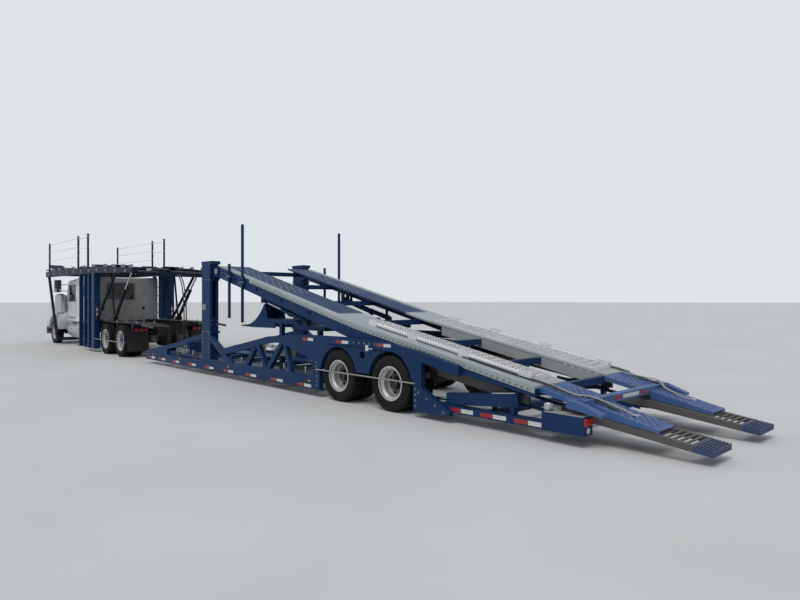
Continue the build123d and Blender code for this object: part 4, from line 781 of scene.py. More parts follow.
# Axle end of a twin pair, outward along the axle: radius, distance from the wheel's middle plane
TWIN_HUB = [(0.100, -0.0685), (0.097, -0.040), (0.080, -0.030), (0.078, 0.026), (0.086, 0.030),
            (0.086, 0.041), (0.072, 0.046), (0.030, 0.049)]
STEER_HUB = [(0.092, 0.1095), (0.092, 0.118), (0.070, 0.122), (0.062, 0.132), (0.052, 0.136)]
DRUM = [(0.130, -0.115), (0.212, -0.115), (0.212, -0.075), (0.205, -0.070), (0.205, 0.040),
        (0.130, 0.045)]


def outward(x, y, z):
    """Local Z of a fitting turned to point away from the vehicle, on the side where y lies."""
    return facing((x, y, z), (0, 1 if y > 0 else -1, 0))


def wheel_nuts(bench, place, reach, face):
    for x, y in circle(NUTS, reach, 0.5):
        spot = place @ Matrix.Translation((x, y, face))
        bench.turned([(0.021, 0), (0.021, 0.004)], 12, spot)
        bench.turned([(0.017, 0.004), (0.017, 0.024), (0.014, 0.028)], 6, spot)
        bench.turned([(0.010, 0.028), (0.010, 0.040), (0.008, 0.042)], 8, spot)


# %% Fit the wheels
for body, centre, bead, is_outer in wheel_places:
    place = outward(*centre)
    if is_outer:
        hub, shiny = benches(2)
        hub.turned(TWIN_HUB, 32, place)
        for x, y in circle(8, 0.062):
            shiny.turned([(0.009, 0.041), (0.009, 0.049), (0.007, 0.050)], 6,
                         place @ Matrix.Translation((x, y, 0.004)))
        wheel_nuts(shiny, place, bead * 0.45, -0.0688)
        valve = [(bead * 0.80, 0, 0.02), (bead * 0.78, 0.01, 0.06), (bead * 0.74, 0.02, 0.085)]
        tube(shiny, [place @ Vector(point) for point in valve], 0.004, 0.02, 6)
        hub.make(f"hub_{body}", body, "black_steel", 35)
        shiny.make(f"nuts_{body}", body, "wheel_nuts", 35)
    else:
        drum = Bench()
        drum.turned(DRUM, 40, place @ Matrix.Translation((0, 0, -0.03)))
        drum.make(f"brake_drum_{body}", body, "cast_metal", 35)
for side, _ in SIDES:
    place = outward(*wheel_at(f"tyre_steer_{side}")[0])
    hub, shiny = benches(2)
    hub.turned(STEER_HUB, 32, place)
    wheel_nuts(shiny, place, TRACTOR_BEAD * 0.47, 0.0655)
    hub.make(f"hub_steer_{side}", f"wheel_steer_{side}", "chrome_parts", 35)
    shiny.make(f"nuts_steer_{side}", f"wheel_steer_{side}", "wheel_nuts", 35)

# %% [markdown]
# ## Reflectors and lamps of the trailer
# Reflective tape runs along every edge that another driver sees at night, in red and white pairs.
# It could be painted on the frame by a mask, but thin plates keep their own gloss and sharp ends.
# Square red lamps close the lamp boxes, amber markers sit along the rail, and one white patch of
# tape marks the place between the wheels.

# %% Tapes and lamps
TAPE, TAPE_EDGE = 0.0012, 0.0004
RAIL_FACE = HALF + 0.0002
REAR_FACE = 1.215 + 0.0002
BEAM_TAPE_X, BEAM_TAPE_Z = (-3.0905, -3.0922), (0.452, 0.500)


def tape_pairs(white, red, xs, length, face, zs):
    """Red and white pieces of tape side by side, one pair at each x."""
    for x in xs:
        blocks(red, two_sided([(x, x - length, face, face + TAPE, *zs)]), TAPE_EDGE)
        blocks(white, two_sided([(x - length, x - 2 * length, face, face + TAPE, *zs)]), TAPE_EDGE)


white_tape, red_tape, deck_white, deck_red = benches(4)
tape_pairs(white_tape, red_tape, [9.39, 8.72, 7.88, 6.98, 6.10, 5.21, 4.28, 3.32, 2.42], 0.21,
           RAIL_FACE, (0.150, 0.202))
tape_pairs(white_tape, red_tape, [2.26, 1.30, 0.28], 0.16, RAIL_FACE, (0.955, 1.003))
tape_pairs(white_tape, red_tape, [-1.13, -1.66, -2.19], 0.205, REAR_FACE, (0.158, 0.212))
blocks(white_tape, two_sided([(0.545, 0.475, RAIL_FACE, RAIL_FACE + TAPE, 0.872, 0.962)]),
       TAPE_EDGE)
white_tape.make("tape_white", "trailer", "tape_white", 0)
red_tape.make("tape_red", "trailer", "tape_red", 0)
blocks(deck_red, [(*BEAM_TAPE_X, y, y + 0.16, *BEAM_TAPE_Z) for y in (-0.42, 0.26)], TAPE_EDGE)
blocks(deck_white, [(*BEAM_TAPE_X, -0.21, 0.21, *BEAM_TAPE_Z)], TAPE_EDGE)
deck_white.make("deck_tape_white", "upper_deck", "tape_white", 0)
deck_red.make("deck_tape_red", "upper_deck", "tape_red", 0)


# %% [markdown]
# ## Lamps of the trailer
# A lamp's lens is a shallow dome, which is four rings of points lofted together. Each marker sits
# in a dark bezel. The lamp box at the rear corner has two square lenses and a round one below them,
# and a bolted cover plate on top.

# %% Lamps
def lens(bench, centre, normal, size, depth, sides=20):
    """A domed oval lens: size across and up, standing out by its depth."""
    rings = [[(size[0] / 2 * s * x, size[1] / 2 * s * y, height) for x, y in circle(sides)]
             for s, height in ((1, 0), (1, depth * 0.5), (0.85, depth * 0.85), (0.5, depth))]
    bench.loft(rings, facing(centre, normal))


# %% Fit the lamps
amber, red_lens, clear_lens, bezel, caps = benches(5)
for side, sign in SIDES:
    for x in (9.1, 7.4, 5.0, 2.05):
        lens(amber, at(x, sign * (HALF + 0.002), 0.262), (0, sign, 0), (0.075, 0.034), 0.016)
        blocks(bezel, [(x - 0.044, x + 0.044, sign * HALF - 0.002, sign * HALF + 0.004, 0.240,
                        0.284)], 0.003)
    # Lamp box: two square red lenses, a round one, a pale cover plate and its bolts
    for y in (sign * 1.09, sign * 1.19):
        blocks(red_lens, [(-3.141, -3.160, y - 0.042, y + 0.042, 0.250, 0.334)], 0.006)
        blocks(bezel, [(-3.139, -3.147, y - 0.047, y + 0.047, 0.245, 0.339)])
    lens(clear_lens, at(-3.141, sign * 1.14, 0.195), (-1, 0, 0), (0.07, 0.07), 0.014)
    blocks(caps, [(-3.130, -2.610, sign * 1.052, sign * 1.228, 0.3505, 0.3560)], 0.0015)
    bolt_rows(caps, [((-3.10, sign * 1.07, 0.356), (-2.64, sign * 1.07, 0.356), 5, (0, 0, 1)),
                     ((-3.10, sign * 1.21, 0.356), (-2.64, sign * 1.21, 0.356), 5, (0, 0, 1))],
              0.007, 0.005)
amber.make("marker_lamps", "trailer", "lamp_amber")
red_lens.make("tail_lamps", "trailer", "lamp_red")
clear_lens.make("reverse_lamps", "trailer", "lamp_glass")
bezel.make("lamp_bezels", "trailer", "black_steel", 0)
caps.make("lamp_box_covers", "trailer", "deck_grey", 0)


# %% [markdown]
# ## Fittings of the trailer
# The side frames are welded from plate and tube, and bolted where they come apart. Steel pipes in
# clips carry the oil to the cylinders, a valve bank sits inside the nose plates, and winch bars
# with holes for a lever tie the cars down. They are many small forms, so each family is one piece.

# %% Weld beads and winches
def weld(bench, start, end, radius=0.005):
    """A bead of weld: short overlapping scales between two places."""
    start, end = Vector(start), Vector(end)
    count = max(3, int((end - start).length / 0.028))
    run = (end - start) / count
    for i in range(count):
        bench.turned([(radius * 0.6, 0), (radius, run.length * 0.5),
                      (radius * 0.55, run.length * 1.02)], 6,
                     facing(start + run * i, run))


def winch(bench, x, y, z):
    """Tie-down winch: a drum with lever holes between two cheeks."""
    place = lying(at(x, y, z))
    bench.turned([(0.022, -0.055), (0.022, 0.055)], 16, place)
    bench.turned([(0.036, 0.055), (0.036, 0.085), (0.030, 0.090)], 12, place)
    for cheek in (x - 0.062, x + 0.050):
        blocks(bench, [(cheek, cheek + 0.010, y - 0.040, y + 0.040, z - 0.042, z + 0.040)], 0.003)
    blocks(bench, [(x - 0.066, x + 0.066, y - 0.044, y + 0.044, z - 0.050, z - 0.040)])


# %% Bolts and welds of the side frame
# Rows of bolts: x, z, x, z, count
FRAME_BOLTS = [(5.90, 0.40, 5.90, 0.90, 6), (6.20, 0.40, 6.20, 0.90, 6),
               (5.88, 0.952, 6.22, 0.952, 5), (5.90, 2.102, 6.20, 2.102, 4),
               (-0.56, 0.16, -0.56, 0.48, 5), (1.84, 0.20, 1.84, 0.60, 6),
               (0.20, 0.985, 0.95, 0.985, 7), (9.50, 0.16, 9.50, 0.30, 3),
               (-0.62, 0.36, -1.10, 0.14, 4)]
# Where the truss members meet the rail and the chord
TRUSS_JOINTS = [(4.31, 0.361), (3.50, 0.361), (2.65, 0.361), (3.86, 0.752), (2.89, 0.856)]
TOWER_BACK = 5.849
UPRIGHT_WELDS = [(TOWER_BACK, HALF - 0.005, 1.25, 0.98), (1.962, HALF - 0.002, 0.365, 0.61)]
bolts, seams = benches(2)
for side, sign in SIDES:
    face_bolts(bolts, sign * (HALF + 0.001), FRAME_BOLTS)
    for z in (1.12, 1.20):
        for y in (1.13, 1.27):
            bolts.bolt(at(TOWER_BACK, sign * y, z), (-1, 0, 0), 0.012)
    y = sign * (HALF - 0.004)
    for x, z in TRUSS_JOINTS:
        weld(seams, at(x - 0.07, y, z), at(x + 0.07, y, z))
    for x, y, z0, z1 in UPRIGHT_WELDS:
        weld(seams, at(x, sign * y, z0), at(x, sign * y, z1))
bolts.make("frame_bolts", "trailer", "wheel_nuts", 35)
seams.make("weld_beads", "trailer", "blue_paint", 60)

# %% [markdown]
# ## Oil pipes and valve bank
# Six valves with their levers stand in the window of the left nose plate. Steel pipes lead the oil
# from them to the cylinders, in clips inside the side frame. A pipe could be a curve with a bevel,
# but a tube along a few stations joins the other pipes in one mesh, and its corners are rounded.

# %% Oil pipes and valve bank
pipes, gear = benches(2)
for side, sign in SIDES:
    y = sign * (HALF - 0.098)
    for z in (0.395 + 0.030 * i for i in range(3)):
        tube(pipes, [at(7.9, y, z), at(5.2, y, z), at(4.4, y, z + 0.02), at(2.1, y, z + 0.02),
                     at(1.9, y, z + 0.20)], 0.009, 0.06)
    for x in (7.4, 6.9, 5.3, 4.6, 3.8, 3.0, 2.3):
        blocks(gear, [(x - 0.012, x + 0.012, y - 0.016, y + 0.016, 0.375, 0.485)])
for i in range(6):
    x = 7.25 + 0.11 * i
    blocks(gear, [(x, x + 0.075, 1.135, 1.205, 0.385, 0.475)], 0.006)
    tube(gear, [at(x + 0.037, 1.180, 0.472), at(x + 0.037, 1.200, 0.560)], 0.006, 0.01, 8)
    gear.turned([(0.0, 0), (0.014, 0.005), (0.016, 0.016), (0.008, 0.028)], 12,
                Matrix.Translation(at(x + 0.037, 1.201, 0.556)))
    tube(pipes, [at(x + 0.03, 1.14, 0.43), at(x + 0.03, 1.06, 0.43), at(x - 0.10, 1.02, 0.36),
                 at(6.95, 1.02 + 0.012 * i, 0.345)], 0.008, 0.05)
pipes.make("oil_pipes", "trailer", "black_steel")

# %% Winches and tool boxes
winches, boxes = benches(2)
for side, sign in SIDES:
    for x in (5.15, 4.70, 3.20, 2.30):
        winch(winches, x, sign * (HALF - 0.15), 0.320)
winches.make("winches", "trailer", "wheel_steel_plain")
# Tool boxes hung inside the left truss, each with a lid and its catch
for x0, x1, y0, z0, z1 in ((3.85, 4.20, 1.086, 0.56, 0.74), (2.95, 3.30, 0.98, 0.60, 0.79)):
    blocks(boxes, [(x0, x1, y0, 1.138, z0, z1)], 0.010)
    blocks(boxes, [(x0 - 0.008, x1 + 0.008, y0 - 0.004, 1.143, z1 - 0.012, z1 + 0.020)], 0.006)
    blocks(gear, [(x0 + 0.14, x1 - 0.14, 1.136, 1.150, z1 - 0.05, z1 + 0.012)], 0.003)
    blocks(gear, [(x0 + 0.02, x0 + 0.05, y0 + 0.01, y0 + 0.04, z1, z1 + 0.12)], 0.003)
gear.make("valve_bank", "trailer", "aluminium_parts")
boxes.make("tool_boxes", "trailer", "box_tan")

# %% [markdown]
# ## Axles and brakes of the trailer
# Seen through the arches and from below: two brake chambers for each axle, leaf springs in their
# hangers, and one air tank. They sit between the wheels and never turn. The springs could be plain
# bars, but a stack of bent leaves is one loft in a loop.

# %% Brake chambers and springs
def brake_chamber(bench, x, y, z):
    place = lying(at(x, y, z))
    bench.turned([(0.030, -0.10), (0.078, -0.085), (0.082, -0.03), (0.088, -0.025), (0.088, 0.0),
                  (0.082, 0.005), (0.078, 0.075), (0.040, 0.095)], 24, place)
    bench.turned([(0.012, 0.09), (0.012, 0.17)], 8, place)


def leaf_spring(bench, x, y, z, half, leaves=5):
    """A stack of leaves, each shorter than the one above it, clamped in the middle."""
    for i in range(leaves):
        reach = half * (1 - 0.16 * i)
        rings = []
        for k in range(9):
            t = -1 + k / 4
            drop = 0.07 * (t * reach / half) ** 2
            top = z - 0.013 * i + drop
            rings.append([at(x + t * reach, y + across, top + below) for across, below in
                          ((-0.038, 0), (0.038, 0), (0.038, -0.011), (-0.038, -0.011))])
        bench.loft(rings)
    for clamp in (x - 0.05, x + 0.05):
        blocks(bench, [(clamp - 0.008, clamp + 0.008, y - 0.048, y + 0.048, z - 0.09, z + 0.02)])


# %% Fit the running gear
SPRING_Y = 0.515
running = Bench()
for side, sign in SIDES:
    for x in (0.0, 1.25):
        brake_chamber(running, x - 0.20, sign * 0.66, 0.40)
        leaf_spring(running, x, sign * SPRING_Y, 0.615, 0.50)
        tube(running, [at(x - 0.05, sign * 0.66, 0.42), at(x - 0.05, sign * 0.72, 0.44)], 0.018,
             0.01)
    for x in (-0.60, 0.62, 1.86):
        y = sign * SPRING_Y
        blocks(running, [(x - 0.05, x + 0.05, y - 0.055, y - 0.046, 0.53, 0.70),
                         (x - 0.05, x + 0.05, y + 0.046, y + 0.055, 0.53, 0.70)])
running.turned([(0.06, -0.38), (0.125, -0.34), (0.125, 0.34), (0.06, 0.38)], 28,
               lying(at(2.60, 0.0, 0.40), "X"))
running.make("trailer_running_gear", "trailer", "black_steel")

# %% [markdown]
# ## Fittings of the upper deck
# The lowered deck shows its working parts: caps on the hinge pins, pipes in clips along each arm,
# locking pins through the poles, and two thin oil lines that run over the flipper to the flap. The
# runways carry raised tread studs at their front. A table of stations places each of them, and the
# deck's own height is asked for at every station, so nothing floats or sinks.

# %% Bolts and pipes of the arms
ARM_FACE, ARM_INNER = 1.20, 1.09
deck_bolts, deck_pipes = benches(2)
for side, sign in SIDES:
    face_bolts(deck_bolts, sign * (ARM_FACE + 0.001),
               [(5.45, 2.24, 5.15, 2.17, 4), (5.45, 2.13, 5.15, 2.06, 4)])
    y = sign * (ARM_INNER - 0.014)
    for below in (0.0, 0.028):
        line = [at(x, y, deck_z(x) - 0.10 - below) for x in (5.2, 3.0, 1.0, -0.6, -2.3)]
        tube(deck_pipes, line, 0.008, 0.05)
    y = sign * ARM_INNER
    for x in (4.9 - 0.9 * i for i in range(8)):
        z = deck_z(x)
        blocks(deck_bolts, [(x - 0.012, x + 0.012, y - 0.026, y + 0.002, z - 0.145, z - 0.085)])
deck_bolts.make("deck_bolts", "upper_deck", "wheel_nuts", 35)
deck_pipes.make("deck_pipes", "upper_deck", "black_steel")

# %% Hinge caps and locking pins
PIN_PITCH = 0.16
# Two poles: x, foot and top
POLES = [(4.53, 1.20, 3.20), (5.09, 1.28, 2.42)]
deck_pins = Bench()
for side, sign in SIDES:
    deck_pins.turned([(0.062, -0.012), (0.062, 0.004), (0.055, 0.010), (0.020, 0.012)], 28,
                     outward(along(5.70), sign * 1.237, 2.28))
    for x, low, high in POLES:
        for i in range(int((high - low - 0.2) / PIN_PITCH)):
            place = at(x, sign * (ARM_FACE + 0.0615), low + 0.12 + PIN_PITCH * i)
            deck_pins.bolt(place, (0, sign, 0), 0.009, 0.004)
        y, z = sign * (ARM_FACE + 0.055), deck_z(x) - 0.10
        pin = [at(x - 0.09, y, z), at(x + 0.09, y, z), at(x + 0.10, y, z - 0.05)]
        tube(deck_pins, pin, 0.009, 0.02)
deck_pins.make("deck_pins", "upper_deck", "wheel_steel_plain", 35)

# %% Studs on the front of the runways
DECK_LEAN = -0.2378
studs = Bench()
for side, sign in SIDES:
    for i in range(18):
        x = 5.30 - 0.13 * i
        for k in range(5):
            y = sign * (0.58 + 0.13 * k + (0.065 if i % 2 else 0))
            studs.turned([(0.017, 0), (0.013, 0.004), (0.006, 0.005)], 8,
                         leaning(at(x, y, deck_z(x) + 0.0302), DECK_LEAN))
studs.make("deck_studs", "upper_deck", "deck_grey", 30)

# %% Oil lines over the flippers, and the fold arms' rods
# The route of the oil lines: x, distance outwards, height
DECK_LINES = [(-1.2, 0.02, deck_z(-1.2) + 0.040), (-2.0, 0.03, deck_z(-2.0) + 0.042),
              (-2.46, 0.01, deck_z(-2.46) + 0.052), (-2.75, -0.04, 0.575), (-2.98, -0.09, 0.540),
              (-3.12, -0.14, 0.500), (-3.36, -0.16, 0.402)]
# The two rods of a fold arm: x, z, x, z, radius
FOLD_RODS = [(-0.64, 0.2735, -1.015, 0.299, 0.0235), (-1.78, 0.4564, -2.152, 0.5009, 0.0175)]
deck_lines, rods = benches(2)
for side, sign in SIDES:
    for y in (sign * 0.985, sign * (0.985 + 0.03)):
        tube(deck_lines, [at(x, y + sign * out, z) for x, out, z in DECK_LINES], 0.0085, 0.08)
    for x0, z0, x1, z1, radius in FOLD_RODS:
        rods.bar(at(x0, sign * 1.12, z0), at(x1, sign * 1.12, z1), radius, 20)
deck_lines.make("deck_lines", "upper_deck", "hose_rubber")
rods.make("cylinder_rods", "trailer", "chrome_parts", 35)


# %% [markdown]
# ## Seats and bunk
# The cushions show through the glass and when a door is open. A cushion is a grid whose middle
# swells and whose edges pull in, with a sewn channel every few centimetres, so it reads as stuffed
# cloth on a hard base. Five simple pads don't need a cloth simulation: the swelling is one formula.

# %% A cushion
CELLS = 28


def cushion(name, low, high, crown, channels, lean=0.0):
    """A pad in its box: swollen towards the top, pulled in at its edges and seams."""
    size = [b - a for a, b in zip(low, high)]
    pad = Bench()
    steps = range(CELLS)

    def skin(u, v, upper):
        edge = min(u, 1 - u, v, 1 - v)
        rise = min(1.0, edge / 0.10)
        swell = (1 - (1 - rise) ** 2) ** 0.5
        seam = abs(((v * channels) % 1) - 0.5) * 2
        dent = 0.10 * crown * max(0.0, seam - 0.80) / 0.20
        pull = 0.012 * (1 - swell)
        half = size[2] / 2
        z = half * (0.55 + 0.45 * swell) - dent if upper else -half * (0.55 + 0.45 * swell)
        return (low[0] + pull + u * (size[0] - 2 * pull), low[1] + pull + v * (size[1] - 2 * pull),
                (low[2] + high[2]) / 2 + z)

    row = CELLS + 1
    for upper in (True, False):
        pad.add([skin(i / CELLS, k / CELLS, upper) for i in range(row) for k in range(row)],
                [(i * row + k, (i + 1) * row + k, (i + 1) * row + k + 1, i * row + k + 1)
                 for i in steps for k in steps])
    rim = [(i, 0) for i in steps] + [(CELLS, k) for k in steps]
    rim += [(CELLS - i, CELLS) for i in steps] + [(0, CELLS - k) for k in steps]
    count = len(rim)
    pad.add([skin(i / CELLS, k / CELLS, upper) for upper in (True, False) for i, k in rim],
            [(i, (i + 1) % count, count + (i + 1) % count, count + i) for i in range(count)])
    turn = (Matrix.Translation((low[0], 0, low[2])) @ Matrix.Rotation(lean, 4, "Y")
            @ Matrix.Translation((-low[0], 0, -low[2])))
    pad.verts = [tuple(turn @ Vector(v)) for v in pad.verts]
    piece = pad.make(name, "tractor", "seat_fabric", 60)
    return piece


# %% Seats and bunk
SEAT_BACK_X = 17.325
for side, sign in SIDES:
    y0, y1 = sorted((sign * 0.275, sign * 0.755))
    base = Bench()
    blocks(base, [(17.40, 17.80, sign * 0.515 - 0.17, sign * 0.515 + 0.17, 0.942, 1.262)], 0.02)
    seat = [base.make(f"seat_base_{side}", "tractor", "dark_plastic", 0),
            cushion(f"seat_cushion_{side}", at(SEAT_BACK_X, y0, 1.262), at(17.875, y1, 1.398),
                    0.10, 5),
            cushion(f"seat_back_{side}", at(SEAT_BACK_X, y0 + 0.02, 1.385),
                    at(SEAT_BACK_X + 0.66, y1 - 0.02, 1.505), 0.10, 5, lean=-1.43)]
    for piece in seat:
        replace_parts(piece, "seats")
bunk_base = Bench()
blocks(bunk_base, [(14.812, 15.655, -0.915, 0.915, 0.942, 1.345)], 0.01)
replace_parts(bunk_base.make("bunk_base", "tractor", "dark_plastic", 0), "seats")
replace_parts(cushion("bunk_mattress", at(14.815, -0.912, 1.346), at(15.650, 0.912, 1.478), 0.12, 9),
            "seats")

# %% [markdown]
# ## Cab and doors
# A painted cab gets its character from small hardware: grab handles, rubber round every pane,
# wipers, marker lamps and air horns on the roof, and rows of rivets on the sleeper. A rivet could
# be a spot in a bump map, but a low dome catches the light from every side.

# %% Strips round a pane
LAP = 0.002


def pane_strip(bench, plane, sides, heights, width, depth, axis="Y"):
    """A rubber strip round an upright pane that faces along Y, or along X."""
    (a0, a1), (z0, z1) = sides, heights
    p0, p1 = sorted((plane, plane + depth))
    for left, right, foot, top in ((a0 - width, a1 + width, z0 - width, z0 + LAP),
                                   (a0 - width, a1 + width, z1 - LAP, z1 + width),
                                   (a0 - width, a0 + LAP, z0, z1), (a1 - LAP, a1 + width, z0, z1)):
        low, high = (left, p0, foot), (right, p1, top)
        if axis == "X":
            low, high = (p0, left, foot), (p1, right, top)
        bench.block(low, high, chamfer=0.003)


# %% Sides of the cab and sleeper
chrome, rubber, rivets, amber_roof, trim = benches(5)
CAB_SIDE = 0.93
SLEEPER_SIDE = 1.03
SLEEPER_BACK = along(14.76)
RIVET, RIVET_RISE = (0.012, 0.012), 0.003
for side, sign in SIDES:
    # Grab handles beside the door and on the sleeper
    for x, z0, z1, wall in ((17.06, 1.05, 2.00, CAB_SIDE), (16.72, 1.10, 1.75, SLEEPER_SIDE)):
        y = sign * wall
        grip = y + sign * 0.055
        tube(chrome, [at(x, y, z0), at(x, grip, z0 + 0.02), at(x, grip, z1 - 0.02), at(x, y, z1)],
             0.013, 0.03, 10)
    # Rivets of the sleeper's side, its window and tool door
    for z in (0.93, 1.30, 1.72, 2.20, 2.34):
        for i in range(34):
            x = 14.86 + 0.0625 * i
            if z in (1.72, 2.20) and 15.84 < x < 16.56:
                continue
            lens(rivets, at(x, sign * (SLEEPER_SIDE - 0.0005), z), (0, sign, 0), RIVET, RIVET_RISE,
                 8)
    pane_strip(rubber, sign * SLEEPER_SIDE, (along(15.90), along(16.50)), (1.80, 2.10), 0.018,
               sign * 0.006)
    pane_strip(trim, sign * SLEEPER_SIDE, (along(15.05), along(15.75)), (1.00, 1.26), 0.008,
               sign * 0.004)
    blocks(chrome, [(15.36, 15.46, sign * 1.034, sign * 1.046, 1.18, 1.215)], 0.004)
    lens(amber_roof, at(16.6, sign * (SLEEPER_SIDE + 0.001), 2.28), (0, sign, 0), (0.07, 0.035),
         0.015)

# %% Sleeper's back and the roof
# Sleeper back: window rubber, two round ports and rows of rivets
pane_strip(rubber, SLEEPER_BACK - 0.006, (-0.245, 0.695), (1.665, 2.245), 0.006, 0.008, "X")
for y in (-0.52, 0.80):
    rubber.turned([(0.055, 0), (0.055, 0.008), (0.040, 0.010), (0.038, 0.002)], 24,
                  facing((SLEEPER_BACK, y, 1.38), (-1, 0, 0)))
for y in (-0.96, -0.34, 0.34, 0.96):
    for i in range(24):
        lens(rivets, (SLEEPER_BACK + 0.0005, y, 0.94 + 0.061 * i), (-1, 0, 0), RIVET, RIVET_RISE, 8)
# Roof: five marker lamps and two air horns
for y in (-0.78, -0.39, 0.0, 0.39, 0.78):
    lens(amber_roof, at(18.02, y, 2.39), (0.25, 0, 1), (0.09, 0.05), 0.035)
for y in (-0.30, 0.30):
    horn = lying(at(17.35, y, 2.455))
    chrome.turned([(0.030, 0.0), (0.036, 0.03), (0.014, 0.06), (0.014, 0.40), (0.026, 0.50),
                   (0.052, 0.56), (0.056, 0.565), (0.048, 0.56), (0.012, 0.45)], 24, horn)
    for x in (17.45, 17.72):
        blocks(chrome, [(x - 0.012, x + 0.012, y - 0.012, y + 0.012, 2.388, 2.445)])

# %% Windscreen
# Windscreen rubbers and wipers
LOW_EDGE, HIGH_EDGE = Vector((18.590, 0, 1.790)), Vector((18.310, 0, 2.300))
glass_lean = (HIGH_EDGE - LOW_EDGE).normalized()
glass_out = Vector((glass_lean.z, 0, -glass_lean.x))
for y0, y1 in ((0.03, 0.84), (-0.84, -0.03)):
    corners = [LOW_EDGE + Vector((0, y0, 0)), LOW_EDGE + Vector((0, y1, 0)),
               HIGH_EDGE + Vector((0, y1, 0)), HIGH_EDGE + Vector((0, y0, 0))]
    loop = [Vector(at(*corner)) + glass_out * 0.012 for corner in corners]
    middle = loop[0].lerp(loop[1], 0.5)
    tube(rubber, [middle, loop[1], loop[2], loop[3], loop[0], middle], 0.012, 0.05)
    pivot = Vector(at(18.60, (y0 + y1) / 2 - 0.18, 1.775)) + glass_out * 0.012
    tip = pivot + glass_lean * 0.40 + Vector((0, 0.22, 0)) + glass_out * 0.028
    tube(rubber, [pivot, pivot + glass_out * 0.03, tip], 0.006, 0.02, 6)
    tube(rubber, [tip - glass_lean * 0.24, tip + glass_lean * 0.22], 0.007, 0.02, 6)
chrome.make("cab_chrome", "tractor", "chrome_parts")
rubber.make("window_rubbers", "tractor", "hose_rubber")
rivets.make("sleeper_rivets", "tractor", "white_paint", 50)
amber_roof.make("cab_marker_lamps", "tractor", "lamp_amber")
trim.make("sleeper_trim", "tractor", "aluminium_parts")

# %% [markdown]
# ## Door hardware and mirrors
# Each door has a pull handle on a dark plate, a lock, a rubber seal round its window and a rubbing
# strip, and it carries the mirror. The mirror's glass is a thin plate that faces the driver, with a
# round one below it. They are pieces of their own, one set a side, so that they ride with the door.

# %% Door hardware
MIRROR_Y = 1.31
for side, sign in SIDES:
    latch, seal, mirror, shine = benches(4)
    y = sign * CAB_SIDE
    blocks(shine, [(17.24, 17.36, y, y + sign * 0.02, 1.50, 1.535)], 0.006)
    blocks(latch, [(17.20, 17.40, y, y + sign * 0.005, 1.475, 1.560)], 0.003)
    lens(latch, at(17.43, y, 1.52), (0, sign, 0), (0.024, 0.024), 0.006, 12)
    pane_strip(seal, y, (along(17.26), along(18.24)), (1.62, 2.19), 0.016, sign * 0.006)
    # Rubbing strip
    blocks(seal, [(17.20, 18.28, y, y + sign * 0.004, 1.00, 1.035)], 0.001)
    # Mirror: glass towards the rear, bright rim and a round convex glass below
    blocks(mirror, [(18.2145, 18.2165, sign * 1.205, sign * 1.415, 2.060, 2.385)], 0.0005)
    lens(mirror, at(18.216, sign * MIRROR_Y, 1.998), (-1, 0, 0), (0.11, 0.11), 0.008, 28)
    y = sign * MIRROR_Y
    for z0, z1 in ((2.386, 2.396), (2.049, 2.059), (1.942, 1.952)):
        blocks(shine, [(18.211, 18.216, y - 0.108, y + 0.108, z0, z1)])
    for edge in (-0.113, 0.106):
        blocks(shine, [(18.211, 18.216, y + edge, y + edge + 0.007, 1.945, 2.395)])
    latch.make(f"latch_{side}", f"door_{side}", "dark_plastic")
    seal.make(f"door_seal_{side}", f"door_{side}", "hose_rubber")
    mirror.make(f"mirror_glass_{side}", f"door_{side}", "mirror_glass", 30)
    shine.make(f"door_chrome_{side}", f"door_{side}", "chrome_parts")

# %% [markdown]
# ## Hood
# The hood opens forward, so its latches, louvres, lamps and centre strip ride with it. Each
# headlamp is a bowl behind a clear lens in a chrome bezel: the frame only holds its solid block,
# and these three pieces stand for it.

# %% Headlamps, signals and louvres
hood_chrome, hood_dark, bowls, lenses, signals = benches(5)
LAMP_FACE = 20.438
LAMP_LOW, LAMP_HIGH = 0.7305, 0.9095
HOOD_BACK, HOOD_LENGTH = 18.68, 1.77


def hood_half(x):
    return 0.80 - 0.33 * (x - HOOD_BACK) / HOOD_LENGTH


def hood_top(x):
    return 1.80 - 0.18 * (x - HOOD_BACK) / HOOD_LENGTH


for side, sign in SIDES:
    y0, y1 = sign * 0.6405, sign * 1.0195
    front = (LAMP_FACE - 0.004, LAMP_FACE)
    blocks(hood_chrome, [(*front, y0, y1, LAMP_LOW, 0.752), (*front, y0, y1, 0.888, LAMP_HIGH)],
           0.003)
    for edge in (0.6405, 0.825, 1.0015):
        blocks(hood_chrome, [(*front, sign * edge, sign * (edge + 0.018), LAMP_LOW, LAMP_HIGH)],
               0.003)
    for y in (0.742, 0.922):
        place = lying(at(LAMP_FACE - 0.050, sign * y, 0.820))
        bowls.turned([(0.014, -0.012), (0.030, -0.010), (0.058, 0.012), (0.070, 0.040),
                      (0.072, 0.044), (0.066, 0.040), (0.054, 0.016), (0.026, -0.004),
                      (0.012, 0.020), (0.006, 0.026)], 32, place)
        lens(lenses, at(LAMP_FACE - 0.006, sign * y, 0.820), (1, 0, 0), (0.148, 0.128), 0.006, 32)
    blocks(hood_dark, [(LAMP_FACE - 0.0575, LAMP_FACE - 0.0545, y0, y1, LAMP_LOW, LAMP_HIGH)],
           0.001)
    # Turn signal on the shoulder of the fender, and a rubber latch on the hood's side
    lens(signals, at(20.02, sign * 1.150, 0.940), (0.3, sign, 0.25), (0.12, 0.06), 0.03)
    tube(hood_dark, [at(18.74, sign * 0.800, 1.20), at(18.74, sign * 0.822, 1.22),
                     at(18.74, sign * 0.822, 1.31), at(18.74, sign * 0.802, 1.33)], 0.014, 0.02, 10)
    # Louvres on the hood's side: each a low wedge that opens to the rear
    for i in range(7):
        x = 19.02 + 0.055 * i
        near, far = sign * (hood_half(x) - 0.004), sign * (hood_half(x) + 0.008)
        blocks(hood_dark, [(x, x + 0.012, near, far, 1.27, 1.47)])
